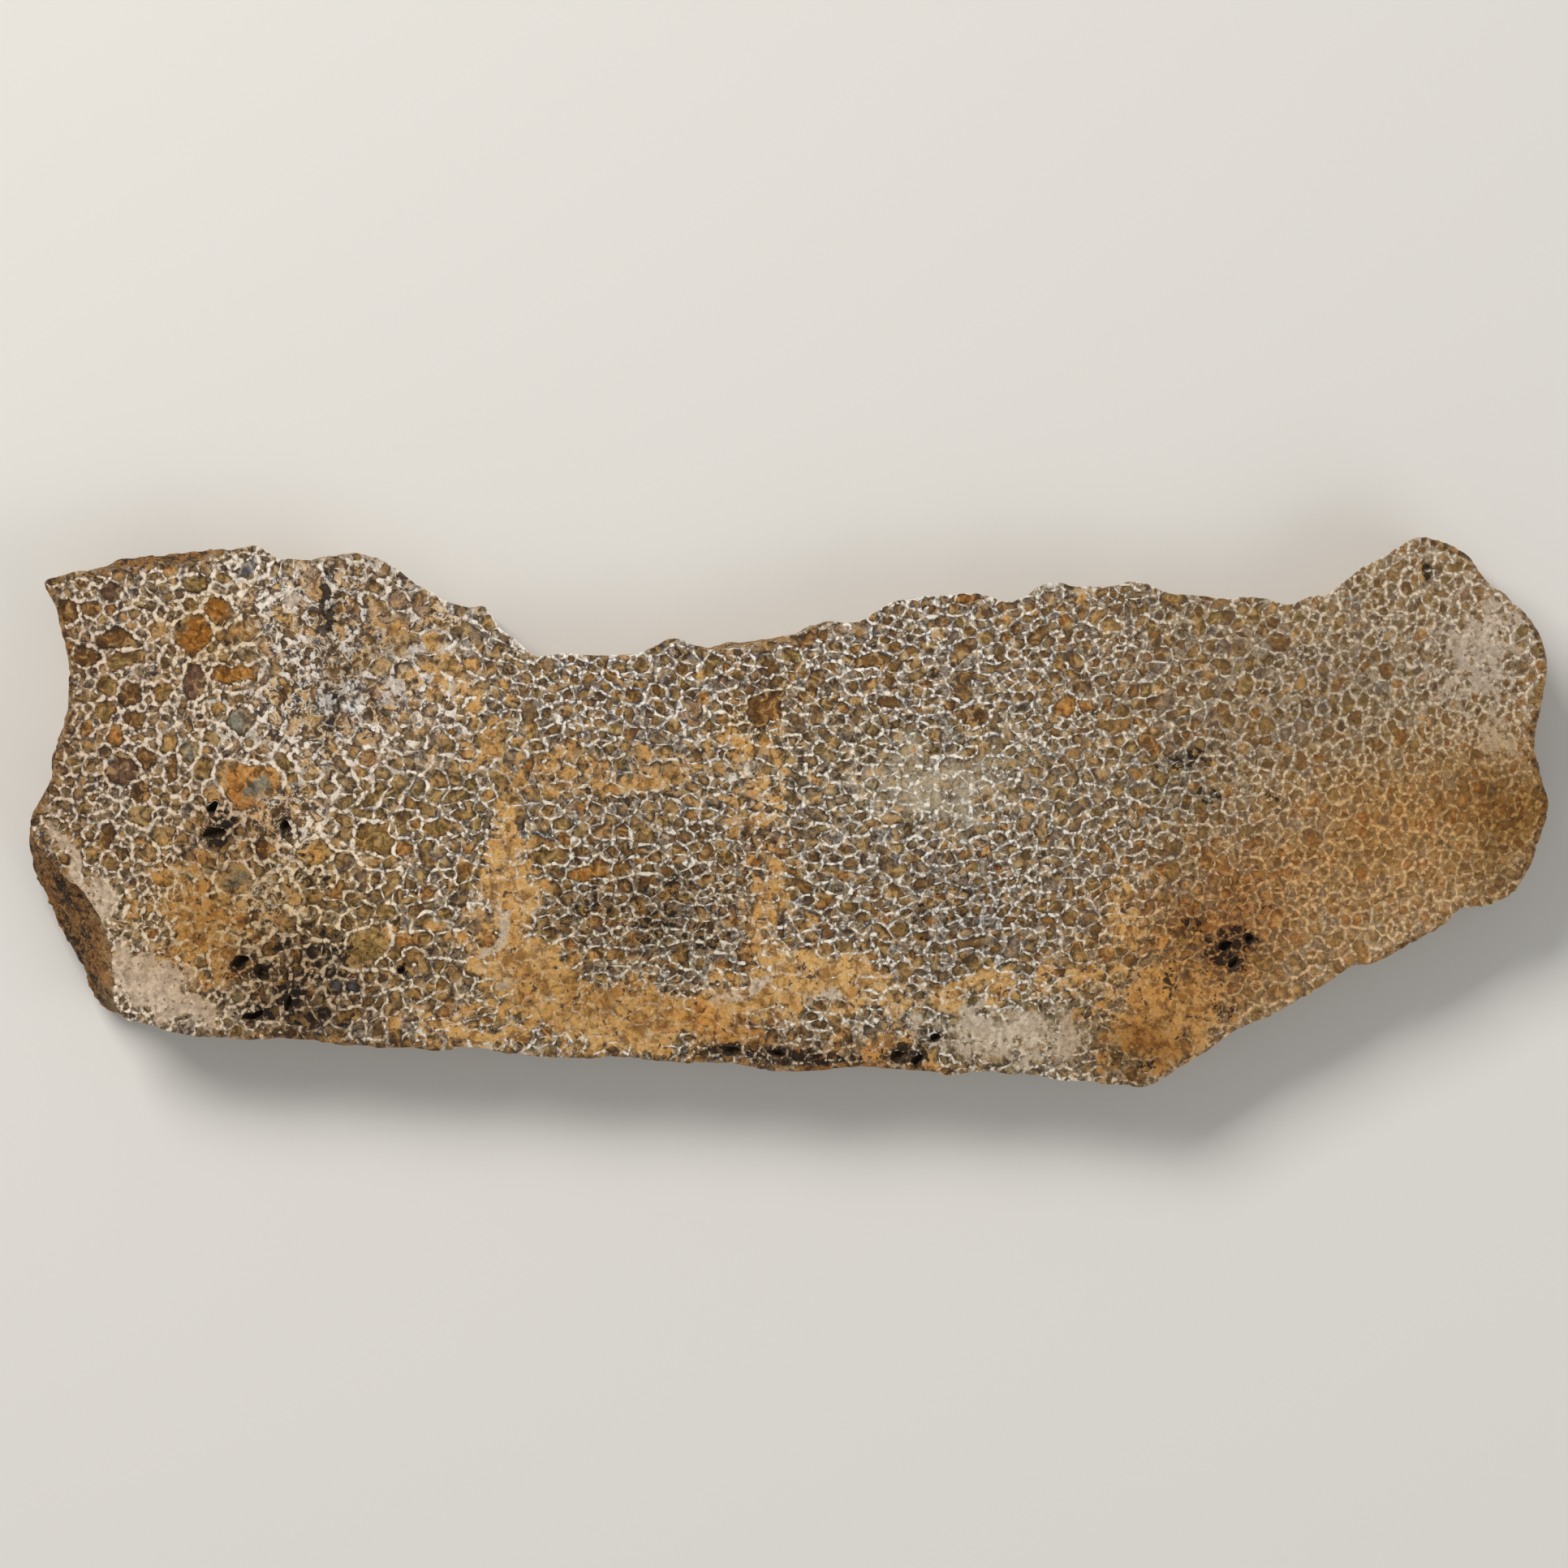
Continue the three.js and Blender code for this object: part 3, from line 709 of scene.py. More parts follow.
def network(near):
    """The points that draw the network, with each point's height in the wall, its cell's number and
    how light the wall is there. Then the cells' middles, owners and colours."""
    rng = np.random.default_rng(SEED)
    points, owner, pocket_of = placed_cells(spread_points(rng, near))
    points, owner, pocket_of = with_small_cells(rng, near, points, owner, pocket_of)
    triangles, junctions = meetings(points)

    # Each wall stands between cells a and b, and runs from one junction to another.
    pairs, end, other_end = sides_of(triangles)
    a, b = pairs.T
    along = junctions[other_end] - junctions[end]
    length = np.linalg.norm(along, axis=1)
    middles = (junctions[end] + junctions[other_end]) / 2
    apart = points[b] - points[a]
    across = np.column_stack([-along[:, 1], along[:, 0]]) / np.maximum(length, TINY)[:, None]
    across *= np.where((across * apart).sum(1) < 0, -1.0, 1.0)[:, None]
    half_gap = np.linalg.norm(apart, axis=1) / 2
    sure = length > SHORT_WALL / 2
    gap_a = np.where(sure, ((middles - points[a]) * across).sum(1), half_gap)
    gap_b = np.where(sure, ((points[b] - middles) * across).sum(1), half_gap)

    # Which walls are there, how light and how thick they are.
    here = at_stations(middles[:, 0])
    stretch = np.clip(1 - here[CELL_WIDTH] / here[CELL_LENGTH], 0, 1)
    torn = zone(middles, CHAOS_ZONE)
    present = (owner[a] != owner[b]) & (rng.random(len(a)) > here[MISSING] + TORN_MISSING * torn)
    present |= (pocket_of[a] != pocket_of[b])
    light = rng.uniform(0.0, 1.0, len(a)) ** WALL_LIGHT
    half_wall = here[HALF_WALL] * rng.uniform(*WALL_SPREAD, len(a))
    half_wall *= 1 + TORN_THICKENING * torn * rng.random(len(a))
    half_wall *= 1 - STREAKING * stretch * np.abs(along[:, 1]) / np.maximum(length, TINY)
    gap = np.maximum(np.minimum(gap_a, gap_b), NARROWEST_GAP)
    half_wall = np.clip(half_wall, THINNEST, 0.5 * gap)

    # How thick the walls are at the junctions, and how deep the cells are in their middles.
    wall_at = np.zeros(len(junctions))
    light_at = np.zeros(len(junctions))
    for ends in (end, other_end):
        np.maximum.at(wall_at, ends, half_wall * present)
        np.maximum.at(light_at, ends, light * present)
    depth = np.full(len(points), DEEPEST)
    for cell, gap in ((a, gap_a), (b, gap_b)):
        np.minimum.at(depth, cell, np.where(present, np.maximum(gap - half_wall, LEAST_DEPTH), DEEPEST))
    depth = np.where(depth == DEEPEST, OPEN_DEPTH, depth)
    for number, pocket in enumerate(POCKETS):
        own = pocket_of == number
        depth[own] = np.maximum(pocket_depth(points[own], *pocket[:5]), LEAST_DEPTH)

    # The junctions, the bent middles of the walls and the middles of the cells.
    walled = wall_at > 0
    drawn = [(junctions, np.where(walled, wall_at, -BARE_DEPTH), triangles[:, 0], light_at)]
    long = length > SHORT_WALL
    bend = rng.uniform(-WALL_BEND, WALL_BEND, len(a)) * length * long
    bent = middles + across * bend[:, None]
    gap_depth = np.where(pocket_of[a] >= 0, (depth[a] + depth[b]) / 2, GAP_DEPTH)
    drawn.append((bent[long], np.where(present, half_wall, -gap_depth)[long], a[long], light[long]))
    drawn.append((points, -depth, np.arange(len(points)), np.full(len(points), 0.5)))

    # The rims of the cells: beside the walls' middles, and drawn in at the junctions.
    sided = long & present
    for cell, sign in ((a, -1.0), (b, 1.0)):
        rims = bent + across * (sign * half_wall)[:, None]
        drawn.append((rims[sided], np.zeros(sided.sum()), cell[sided], light[sided]))
    rounding = np.interp(junctions[:, 0], *zip(*ROUNDING))
    for corner in range(3):
        cell = triangles[:, corner]
        inwards = points[cell] - junctions
        reach = np.linalg.norm(inwards, axis=1)
        draw_in = np.minimum(CORNER_REACH * wall_at + rounding, CORNER_LIMIT * reach)
        rims = junctions + inwards * (draw_in / np.maximum(reach, TINY))[:, None]
        others = triangles[:, [corner - 1, corner - 2]]
        used = walled & (owner[others] != owner[cell][:, None]).any(1)
        drawn.append((rims[used], np.zeros(used.sum()), cell[used], light_at[used]))
    drawn = [np.concatenate(kind) for kind in zip(*drawn)]
    return drawn, points, owner, cell_colours(rng, points, owner, pocket_of)


# ---- the mesh --------------------------------------------

def inside(points, loops):
    """Whether each point is inside an odd number of closed loops."""
    crossed = np.zeros(len(points), bool)
    for loop in loops:
        following = np.roll(loop, -1, axis=0)
        for (ax, ay), (bx, by) in zip(loop, following):
            spans = (ay > points[:, 1]) != (by > points[:, 1])
            if ay != by:
                meets = (bx - ax) * (points[:, 1] - ay) / (by - ay) + ax
                crossed ^= spans & (points[:, 0] < meets)
    return crossed


def largest_island(solid):
    """The largest group of faces that hang together."""
    islands = []
    waiting = set(solid.faces)
    while waiting:
        island, front = set(), [waiting.pop()]
        while front:
            face = front.pop()
            island.add(face)
            beside = {other for edge in face.edges for other in edge.link_faces} & waiting
            waiting -= beside
            front.extend(beside)
        islands.append(island)
    return max(islands, key=len)


def split_solid():
    """The broken edge and the cavities of the CAD solid, with both saw cuts taken off and the rest cut
    finer. Returns the vertices' places and normals, the faces, which faces belong to the broken edge,
    and the pairs of vertices along the rims and along all edges."""
    solid = bmesh.new()
    solid.from_mesh(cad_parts[NODE].data)
    in_edge = solid.faces.layers.int.new("in_edge")
    bmesh.ops.remove_doubles(solid, verts=solid.verts, dist=SAME_POINT)
    low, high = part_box(NODE)
    heights = {face: [v.co.z for v in face.verts] for face in solid.faces}
    cut = [f for f, z in heights.items() if min(z) > high.z - FLAT or max(z) < low.z + FLAT]
    bmesh.ops.delete(solid, geom=cut, context="FACES")
    outer = largest_island(solid)
    for face in outer:
        face[in_edge] = 1
    solid.edges.index_update()
    outer_edges = sorted({e for f in outer for e in f.edges}, key=lambda e: e.index)
    bmesh.ops.subdivide_edges(solid, edges=outer_edges, cuts=EDGE_CUTS, use_grid_fill=True)
    cavity_edges = [e for e in solid.edges if e.link_faces and not e.link_faces[0][in_edge]]
    bmesh.ops.subdivide_edges(solid, edges=cavity_edges, cuts=CAVITY_CUTS, use_grid_fill=True)
    bmesh.ops.triangulate(solid, faces=solid.faces[:])
    solid.verts.index_update()
    solid.normal_update()
    places = np.array([v.co[:] for v in solid.verts])
    normals = np.array([v.normal[:] for v in solid.verts])
    faces = np.array([[v.index for v in f.verts] for f in solid.faces])
    of_edge = np.array([f[in_edge] for f in solid.faces], bool)
    rims = [[v.index for v in e.verts] for e in solid.edges if len(e.link_faces) == 1]
    joins = np.array([[v.index for v in e.verts] for e in solid.edges])
    solid.free()
    return places, normals, faces, of_edge, rims, joins


def chain(pairs):
    """Sorts the rim's vertex pairs into closed loops."""
    beside = {}
    for a, b in pairs:
        beside.setdefault(a, []).append(b)
        beside.setdefault(b, []).append(a)
    loops = []
    while beside:
        start = next(iter(beside))
        loop, here, before = [start], beside[start][0], start
        while here != start:
            loop.append(here)
            first, second = beside[here]
            here, before = (second if first == before else first), here
        for index in loop:
            del beside[index]
        loops.append(loop)
    return loops


def smooth(places, joins, moving, rounds, keep_height=False):
    """Relaxes the moving vertices towards the middle of their neighbours."""
    count = np.bincount(joins.ravel(), minlength=len(places))[:, None]
    for _ in range(rounds):
        total = np.zeros_like(places)
        np.add.at(total, joins[:, 0], places[joins[:, 1]])
        np.add.at(total, joins[:, 1], places[joins[:, 0]])
        target = total / np.maximum(count, 1)
        shift = 0.5 * (target - places)
        if keep_height:
            shift[:, 2] = 0
        places[moving] += shift[moving]


def break_edge(places, normals, moving):
    """Gives the broken edge its knobs, open cells and grain, always inwards of the CAD surface."""
    skin = zone(places / MM, SKIN_ZONE)
    evenly, by_knobs, by_grain, by_cells, by_bark = EDGE_DEPTHS
    knobs_per_mm, *fractal = KNOBS
    for index in moving:
        spot = Vector(places[index]) / MM
        knobs = noise.fractal(spot * knobs_per_mm, *fractal)
        grain = noise.noise(spot * GRAIN_PER_MM)
        nearest = noise.voronoi(spot / OPEN_CELL_SIZE)[0][0]
        open_cell = max(0.0, OPEN_CELL_REACH - nearest) * (1 - CLOSED_IN_SKIN * skin[index])
        stretched = Vector([value * stretch for value, stretch in zip(spot, BARK_STRETCH)])
        bark = abs(noise.noise(stretched * BARK_PER_MM)) * skin[index]
        depth = evenly + by_knobs * knobs + by_grain * grain + by_cells * open_cell + by_bark * bark
        places[index] -= normals[index] * max(depth, 0.0) * MM


def nick_rim(places, normals, loop, depth, closeness):
    """Takes small nicks out of a rim."""
    for index in loop:
        nick = max(0.0, noise.fractal(Vector(places[index]) / MM * closeness, 1.0, 2.0, 3))
        flat = Vector((normals[index][0], normals[index][1], 0)).normalized()
        places[index] -= np.array(flat) * depth * nick * MM


def even_spread(outlines, spacing):
    """Points spread evenly over the box round the outlines."""
    low, high = outlines[0].min(0), outlines[0].max(0)
    rows = int((high[1] - low[1]) / (spacing * TRIANGLE_ROW)) + 1
    columns = int((high[0] - low[0]) / spacing) + 1
    across, down = [grid.ravel() for grid in np.meshgrid(np.arange(columns), np.arange(rows))]
    x = low[0] + (across + 0.5 * (down % 2)) * spacing
    y = low[1] + down * spacing * TRIANGLE_ROW
    return np.column_stack([x, y])


def tree_of(points):
    """A tree that finds the nearest of some flat points."""
    tree = kdtree.KDTree(len(points))
    for position, (x, y) in enumerate(points):
        tree.insert((x, y, 0), position)
    tree.balance()
    return tree


def distance_to(tree, point):
    """How far a point is from the nearest point of a tree."""
    return tree.find((*point, 0))[2]


def within_cut(points, outlines, margin):
    """Which points lie inside the outlines and clear of them."""
    tree = tree_of(np.vstack(outlines))
    kept = inside(points, outlines)
    for position in np.flatnonzero(kept):
        kept[position] = distance_to(tree, points[position]) > margin
    return kept


def fill_cut(places, loops, grid):
    """Triangles for one saw cut: its rim loops, filled with the points of the grid."""
    rim = [index for loop in loops for index in loop]
    outlines = [places[loop][:, :2] for loop in loops]
    flat = [Vector(places[index][:2]) for index in rim] + [Vector(point) for point in grid]
    edges, start = [], 0
    for loop in loops:
        size = len(loop)
        edges += [(start + i, start + (i + 1) % size) for i in range(size)]
        start += size
    made, _, faces, origins, _, _ = delaunay_2d_cdt(flat, edges, [], 0, DIVIDED)
    source = [origin[0] for origin in origins]
    names = [rim[s] if s < len(rim) else len(places) + s - len(rim) for s in source]
    height = places[loops[0][0]][2]
    added = np.column_stack([grid, np.full(len(grid), height)])

    on_rim = [face for face in faces if all(source[v] < len(rim) for v in face)]
    kept = [face for face in faces if not all(source[v] < len(rim) for v in face)]
    middles = np.array([[sum(made[v][axis] for v in face) / 3 for axis in (0, 1)] for face in on_rim])
    if len(middles):
        kept += [face for face, within in zip(on_rim, inside(middles, outlines)) if within]
    return added, [[names[v] for v in face] for face in kept]


def face_network(outlines):
    """The network's points on the polished face, in mm, and their fields; and a way to look up the
    fields of any other place."""
    outlines = [outline / MM for outline in outlines]
    rim = tree_of(outlines[0])

    def near(points):
        close = inside(points, outlines[:1])
        for position in np.flatnonzero(~close):
            close[position] = distance_to(rim, points[position]) < BEYOND
        return close

    (spots, heights, cell, lights), cells, owner, (middle, side) = network(near)
    spots = pushed(spots, *WIGGLE)
    _, first = np.unique((spots / CLOSEST).round().astype(int), axis=0, return_index=True)
    first.sort()
    kept = first[within_cut(spots[first], outlines, RIM_MARGIN)]
    spots, cell = spots[kept], cell[kept]
    from_rim = [distance_to(rim, spot) for spot in spots]
    found = np.column_stack([heights[kept], lights[kept], middle[cell], side[cell], from_rim])
    tree = tree_of(cells)

    def look_up(places):
        values = []
        highlight_height, length, level = RIM_HIGHLIGHT
        for (x, y), wall in zip(places, at_stations(places[:, 0])[HALF_WALL]):
            nearby = [position for _, position, _ in tree.find_n((x, y, 0), RIM_NEIGHBOURS)]
            first = nearby[0]
            second = next((p for p in nearby if owner[p] != owner[first]), nearby[-1])
            to_first, to_second = (math.hypot(*(cells[p] - (x, y))) for p in (first, second))
            apart = math.hypot(*(cells[second] - cells[first]))
            height = wall - (to_second ** 2 - to_first ** 2) / (2 * apart)
            # A pale line is painted along the upper rim as a highlight, drawn as wall.
            upper_rim_highlight = highlight_height * noise.noise(Vector((x / length, y / length, level))) if y > 0 else 0.0
            values.append((max(height, upper_rim_highlight), RIM_LIGHT, *middle[first], *side[first], 0.0))
        return np.array(values)

    return spots, found, look_up


def roughened_solid():
    """The broken edge and the cavities with their rough surfaces, then the faces and which of them
    belong to the edge, and the rim loops of the upper and of the lower saw cut."""
    places, normals, faces, of_edge, rims, joins = split_solid()
    low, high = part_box(NODE)
    middle_height = (low.z + high.z) / 2
    loops = sorted(chain(rims), key=len, reverse=True)
    top = [loop for loop in loops if places[loop[0]][2] > middle_height]
    bottom = [loop for loop in loops if places[loop[0]][2] <= middle_height]

    on_rim = np.zeros(len(places), bool)
    on_rim[[index for loop in loops for index in loop]] = True
    on_edge = np.zeros(len(places), bool)
    on_edge[faces[of_edge]] = True
    outer_rims = (top[0], bottom[0])
    rim_joins = np.array([(loop[i - 1], loop[i]) for loop in outer_rims for i in range(len(loop))])
    on_outer_rim = np.isin(np.arange(len(places)), rim_joins)
    smooth(places, joins, ~on_rim, SMOOTHINGS)
    smooth(places, rim_joins, on_outer_rim, RIM_SMOOTHINGS, keep_height=True)
    break_edge(places, normals, np.flatnonzero(on_edge & ~on_rim))
    for loop, nicks in zip(outer_rims, NICKS):
        nick_rim(places, normals, loop, *nicks)
    for index in np.flatnonzero(~on_edge):
        push = noise.noise_vector(Vector(places[index]) / MM * RAGGED_PER_MM)
        places[index][:2] += RAGGED * MM * np.array(push[:2])
    return np.clip(places, np.array(low), np.array(high)), faces, of_edge, top, bottom


def slab_mesh():
    """The slab's mesh, which of its vertices belong to a cavity, and the fields of its vertices."""
    places, faces, of_edge, top, bottom = roughened_solid()
    edge_count = len(places)
    in_cavity = faces[~of_edge]

    spots, found, look_up = face_network([places[loop][:, :2] for loop in top])
    added, top_faces = fill_cut(places, top, spots * MM)
    places = np.vstack([places, added])
    fields = np.zeros((len(places), found.shape[1]))
    rim = [index for loop in top for index in loop]
    fields[rim] = look_up(places[rim][:, :2] / MM)
    fields[edge_count:] = found

    outlines = [places[loop][:, :2] for loop in bottom]
    grid = even_spread(outlines, BACK_SPACING)
    grid = grid[within_cut(grid, outlines, BACK_SPACING * 0.5)]
    added, back_faces = fill_cut(places, bottom, grid)
    back_faces = [face[::-1] for face in back_faces]
    places = np.vstack([places, added])
    fields = np.vstack([fields, np.zeros((len(added), fields.shape[1]))])
    least, more, per_mm = WEAR_SPREAD
    for index in top[0]:
        wear = least + more * abs(noise.noise(Vector(places[index]) / MM * per_mm))
        places[index][2] -= EDGE_WEAR * wear

    mesh = bpy.data.meshes.new(PIECE)
    mesh.from_pydata(places.tolist(), [], faces.tolist() + top_faces + back_faces)
    slots = [EDGE] * len(faces) + [FACE] * len(top_faces) + [BACK] * len(back_faces)
    mesh.polygons.foreach_set("material_index", slots)
    mesh.polygons.foreach_set("use_smooth", [slot == EDGE for slot in slots])
    mesh.validate()
    mesh.update()
    cavity = np.zeros(len(places))
    cavity[in_cavity] = 1.0
    return mesh, cavity, fields


def store(mesh, name, values):
    """Stores one number, or one colour or place, for each vertex."""
    values = np.asarray(values, np.float32)
    if values.ndim == 1:
        mesh.attributes.new(name, "FLOAT", "POINT").data.foreach_set("value", values)
    else:
        mesh.attributes.new(name, "FLOAT_VECTOR", "POINT").data.foreach_set("vector", values.ravel())


def strayed(points):
    """The points pushed about, so that the blots stored for them get uneven outlines."""
    pushes = [noise.noise_vector(Vector(point) / STRAY_LENGTH) for point in points]
    return points + STRAY_REACH * np.array(pushes)


def store_fields(mesh, in_cavity, fields):
    """Stores on the mesh all that the materials need to know about a place."""
    places = np.zeros(len(mesh.vertices) * 3)
    mesh.vertices.foreach_get("co", places)
    points = places.reshape(-1, 3) / MM
    loose = strayed(points)
    store(mesh, "wall_height", fields[:, 0])
    store(mesh, "wall_light", fields[:, 1])
    store(mesh, "cell_middle", fields[:, 2:5])
    store(mesh, "cell_side", fields[:, 5:8])
    store(mesh, "rim", fields[:, 8])
    store(mesh, "soft", at_stations(points[:, 0])[SOFTNESS])
    for name, blots in (("rim_zone", RIM_ZONE), ("dark", DARK_ZONE), ("skin", SKIN_ZONE)):
        store(mesh, name, zone(points, blots))
    for name, blots in (("ochre", OCHRE_ZONE), ("compact", COMPACT_ZONE)):
        store(mesh, name, zone(loose, blots))
    for name, blots in (("pale", PALE_ZONE), ("chaos", CHAOS_ZONE)):
        store(mesh, name, zone(loose, blots))
    store(mesh, "cavity", in_cavity)
    store(mesh, "wall_tint", tint(points, COOL, WALL_TINTS))
    store(mesh, "stain", stain(loose))


# ---- a short way of writing node materials ---------------

class Number:
    """A number, colour or place that a material's nodes work out. Arithmetic on it adds Math nodes."""

    def __init__(self, material, socket):
        self.material = material
        self.socket = socket

    def __add__(self, other):
        return self.material.math("ADD", self, other)

    def __radd__(self, other):
        return self.material.math("ADD", other, self)

    def __sub__(self, other):
        return self.material.math("SUBTRACT", self, other)

    def __rsub__(self, other):
        return self.material.math("SUBTRACT", other, self)

    def __mul__(self, other):
        return self.material.math("MULTIPLY", self, other)

    def __rmul__(self, other):
        return self.material.math("MULTIPLY", other, self)

    def step(self, low, high):
        """0 below low and 1 above high, smooth between. With low above high it falls instead."""
        node = self.material.node("MapRange", interpolation_type="SMOOTHSTEP")
        self.material.feed(node.inputs["Value"], self)
        self.material.feed(node.inputs["From Min"], low)
        self.material.feed(node.inputs["From Max"], high)
        return Number(self.material, node.outputs["Result"])

    def most(self, other):
        """The larger of two numbers."""
        return self.material.math("MAXIMUM", self, other)


class Material:
    """A node material, with one method for each kind of node that it uses."""

    def __init__(self, name):
        self.data = bpy.data.materials.new(name)
        self.data.use_nodes = True
        self.tree = self.data.node_tree
        self.tree.nodes.clear()
        coordinates = Number(self, self.node("TexCoord").outputs["Object"])
        self.place = self.vector("SCALE", coordinates, scale=1 / MM)

    def node(self, kind, **settings):
        """A new node with these settings."""
        node = self.tree.nodes.new("ShaderNode" + kind)
        for name, value in settings.items():
            setattr(node, name, value)
        return node

    def feed(self, socket, value):
        """Gives a node's input its value, or links it to what works the value out."""
        if isinstance(value, Number):
            self.tree.links.new(value.socket, socket)
        elif socket.type == "RGBA":
            socket.default_value = (*value, 1.0)
        else:
            socket.default_value = value

    def field(self, name):
        """A number stored on the mesh."""
        return Number(self, self.node("Attribute", attribute_name=name).outputs["Fac"])

    def field_vector(self, name):
        """A colour or place stored on the mesh."""
        return Number(self, self.node("Attribute", attribute_name=name).outputs["Vector"])

    def math(self, operation, a, b=0.0):
        """One step of arithmetic on numbers."""
        node = self.node("Math", operation=operation)
        self.feed(node.inputs[0], a)
        self.feed(node.inputs[1], b)
        return Number(self, node.outputs[0])

    def vector(self, operation, a, b=None, scale=1.0):
        """One step of arithmetic on places or colours."""
        node = self.node("VectorMath", operation=operation)
        self.feed(node.inputs[0], a)
        if operation == "SCALE":
            self.feed(node.inputs["Scale"], scale)
        else:
            self.feed(node.inputs[1], b)
        return Number(self, node.outputs[0])

    def noise_node(self, place, scale, detail, roughness=0.5, distortion=0.0, flat=True):
        """The node behind noise and warp."""
        node = self.node("TexNoise", noise_dimensions="2D" if flat else "3D")
        self.feed(node.inputs["Vector"], place)
        self.feed(node.inputs["Scale"], scale)
        self.feed(node.inputs["Detail"], detail)
        self.feed(node.inputs["Roughness"], roughness)
        self.feed(node.inputs["Distortion"], distortion)
        return node

    def noise(self, place, scale, detail=2.0, roughness=0.5, distortion=0.0, flat=True):
        """Noise about 0.5, mostly from 0.3 to 0.7."""
        node = self.noise_node(place, scale, detail, roughness, distortion, flat)
        return Number(self, node.outputs["Fac"])

    def warp(self, place, scale, strength, detail=1.0, flat=True):
        """The place, pushed about by noise."""
        three = Number(self, self.noise_node(place, scale, detail, flat=flat).outputs["Color"])
        push = self.vector("SCALE", self.vector("SUBTRACT", three, (0.5, 0.5, 0.5)), scale=strength)
        return self.vector("ADD", place, push)

    def voronoi(self, place, scale, feature="F1", flat=True):
        """The distance to the nearest of many scattered points, and a random colour for each point."""
        dimensions = "2D" if flat else "3D"
        node = self.node("TexVoronoi", voronoi_dimensions=dimensions, feature=feature)
        self.feed(node.inputs["Vector"], place)
        self.feed(node.inputs["Scale"], scale)
        return Number(self, node.outputs["Distance"]), Number(self, node.outputs["Color"])

    def cells(self, place, scale, flat=True):
        """A network of rounded cells: 1 along the walls, falling to 0 beside them, then a random
        colour for each cell."""
        sharp, random = self.voronoi(place, scale, flat=flat)
        soft, _ = self.voronoi(place, scale, "SMOOTH_F1", flat)
        return (sharp - soft) * 8.0, random

    def channels(self, colour):
        """The three numbers that make a colour."""
        node = self.node("SeparateColor")
        self.feed(node.inputs[0], colour)
        return [Number(self, output) for output in node.outputs]

    def mix(self, share, first, second, blend="MIX"):
        """The first colour, turned by a share to the second."""
        node = self.node("Mix", data_type="RGBA", blend_type=blend)
        self.feed(node.inputs[0], share)
        self.feed(node.inputs[6], first)  # 6 and 7 are its colours; those before are for numbers
        self.feed(node.inputs[7], second)
        return Number(self, node.outputs[2])

    def turned(self, colour, turns):
        """A colour, turned in steps. Each turn is a noise, where its effect starts and is full, how far
        the colour turns, and towards what."""
        for source, low, high, share, target in turns:
            colour = self.mix(source.step(low, high) * share, colour, srgb(*target))
        return colour

    def shade(self, colour, amount):
        """A colour made darker or lighter."""
        grey = self.node("CombineColor")
        for channel in grey.inputs:
            self.feed(channel, amount)
        return self.mix(1.0, colour, Number(self, grey.outputs[0]), "MULTIPLY")

    def finish(self, colour, roughness, height=None, specular=0.5):
        """Ends the material. The height is in mm."""
        shader = self.node("BsdfPrincipled")
        self.feed(shader.inputs["Base Color"], colour)
        self.feed(shader.inputs["Roughness"], roughness)
        self.feed(shader.inputs["Specular IOR Level"], specular)
        if height is not None:
            bump = self.node("Bump")
            self.feed(bump.inputs["Distance"], MM)
            self.feed(bump.inputs["Strength"], 1.0)
            self.feed(bump.inputs["Height"], height)
            self.tree.links.new(bump.outputs["Normal"], shader.inputs["Normal"])
        output = self.node("OutputMaterial")
        self.tree.links.new(shader.outputs[0], output.inputs["Surface"])
        return self.data


# ---- the bone's pattern ----------------------------------

WALL_RELIEF = 0.006  # how far the walls stand up from a cut face, in mm

def shared_noise(m):
    """Noise that several layers of the pattern share, from broad to fine."""
    m.broad = m.noise(m.place, 0.17, 2.0, 0.5)
    m.clouds = m.noise(m.place, 0.45, 3.0, 0.6)
    m.spots = m.noise(m.place, 1.1, 2.0, 0.6)
    m.swirl = m.noise(m.place, 0.85, 2.0, 0.6, distortion=0.7)
    m.mottle = m.noise(m.place, 1.7, 3.0, 0.62)
    m.grain = m.noise(m.place, 3.6, 1.0, 0.6)
    m.torn = m.warp(m.place, 0.35, 3.2, detail=2.0)
    m.masses = m.noise(m.torn, 0.4, 3.0, 0.56)
    threads = m.noise(m.torn, 0.42, 2.0, 0.55, distortion=0.8)
    m.ridge = m.math("ABSOLUTE", threads - 0.5)


def textured(m, colour, contrast=1.0, lightness=1.0):
    """A colour with the stone's fine blotches and grain."""
    blotches = (m.mottle - 0.5) * (1.3 * contrast) + (m.spots - 0.5) * (0.5 * contrast)
    return m.shade(colour, lightness + blotches + (m.grain - 0.5) * (0.5 * contrast))


def swirled(m, colour, dark, light):
    """A colour with darker and lighter agate in it."""
    colour = m.mix(m.swirl.step(0.52, 0.32) * 0.75, colour, dark)
    return m.mix(m.swirl.step(0.52, 0.70) * 0.65, colour, light)


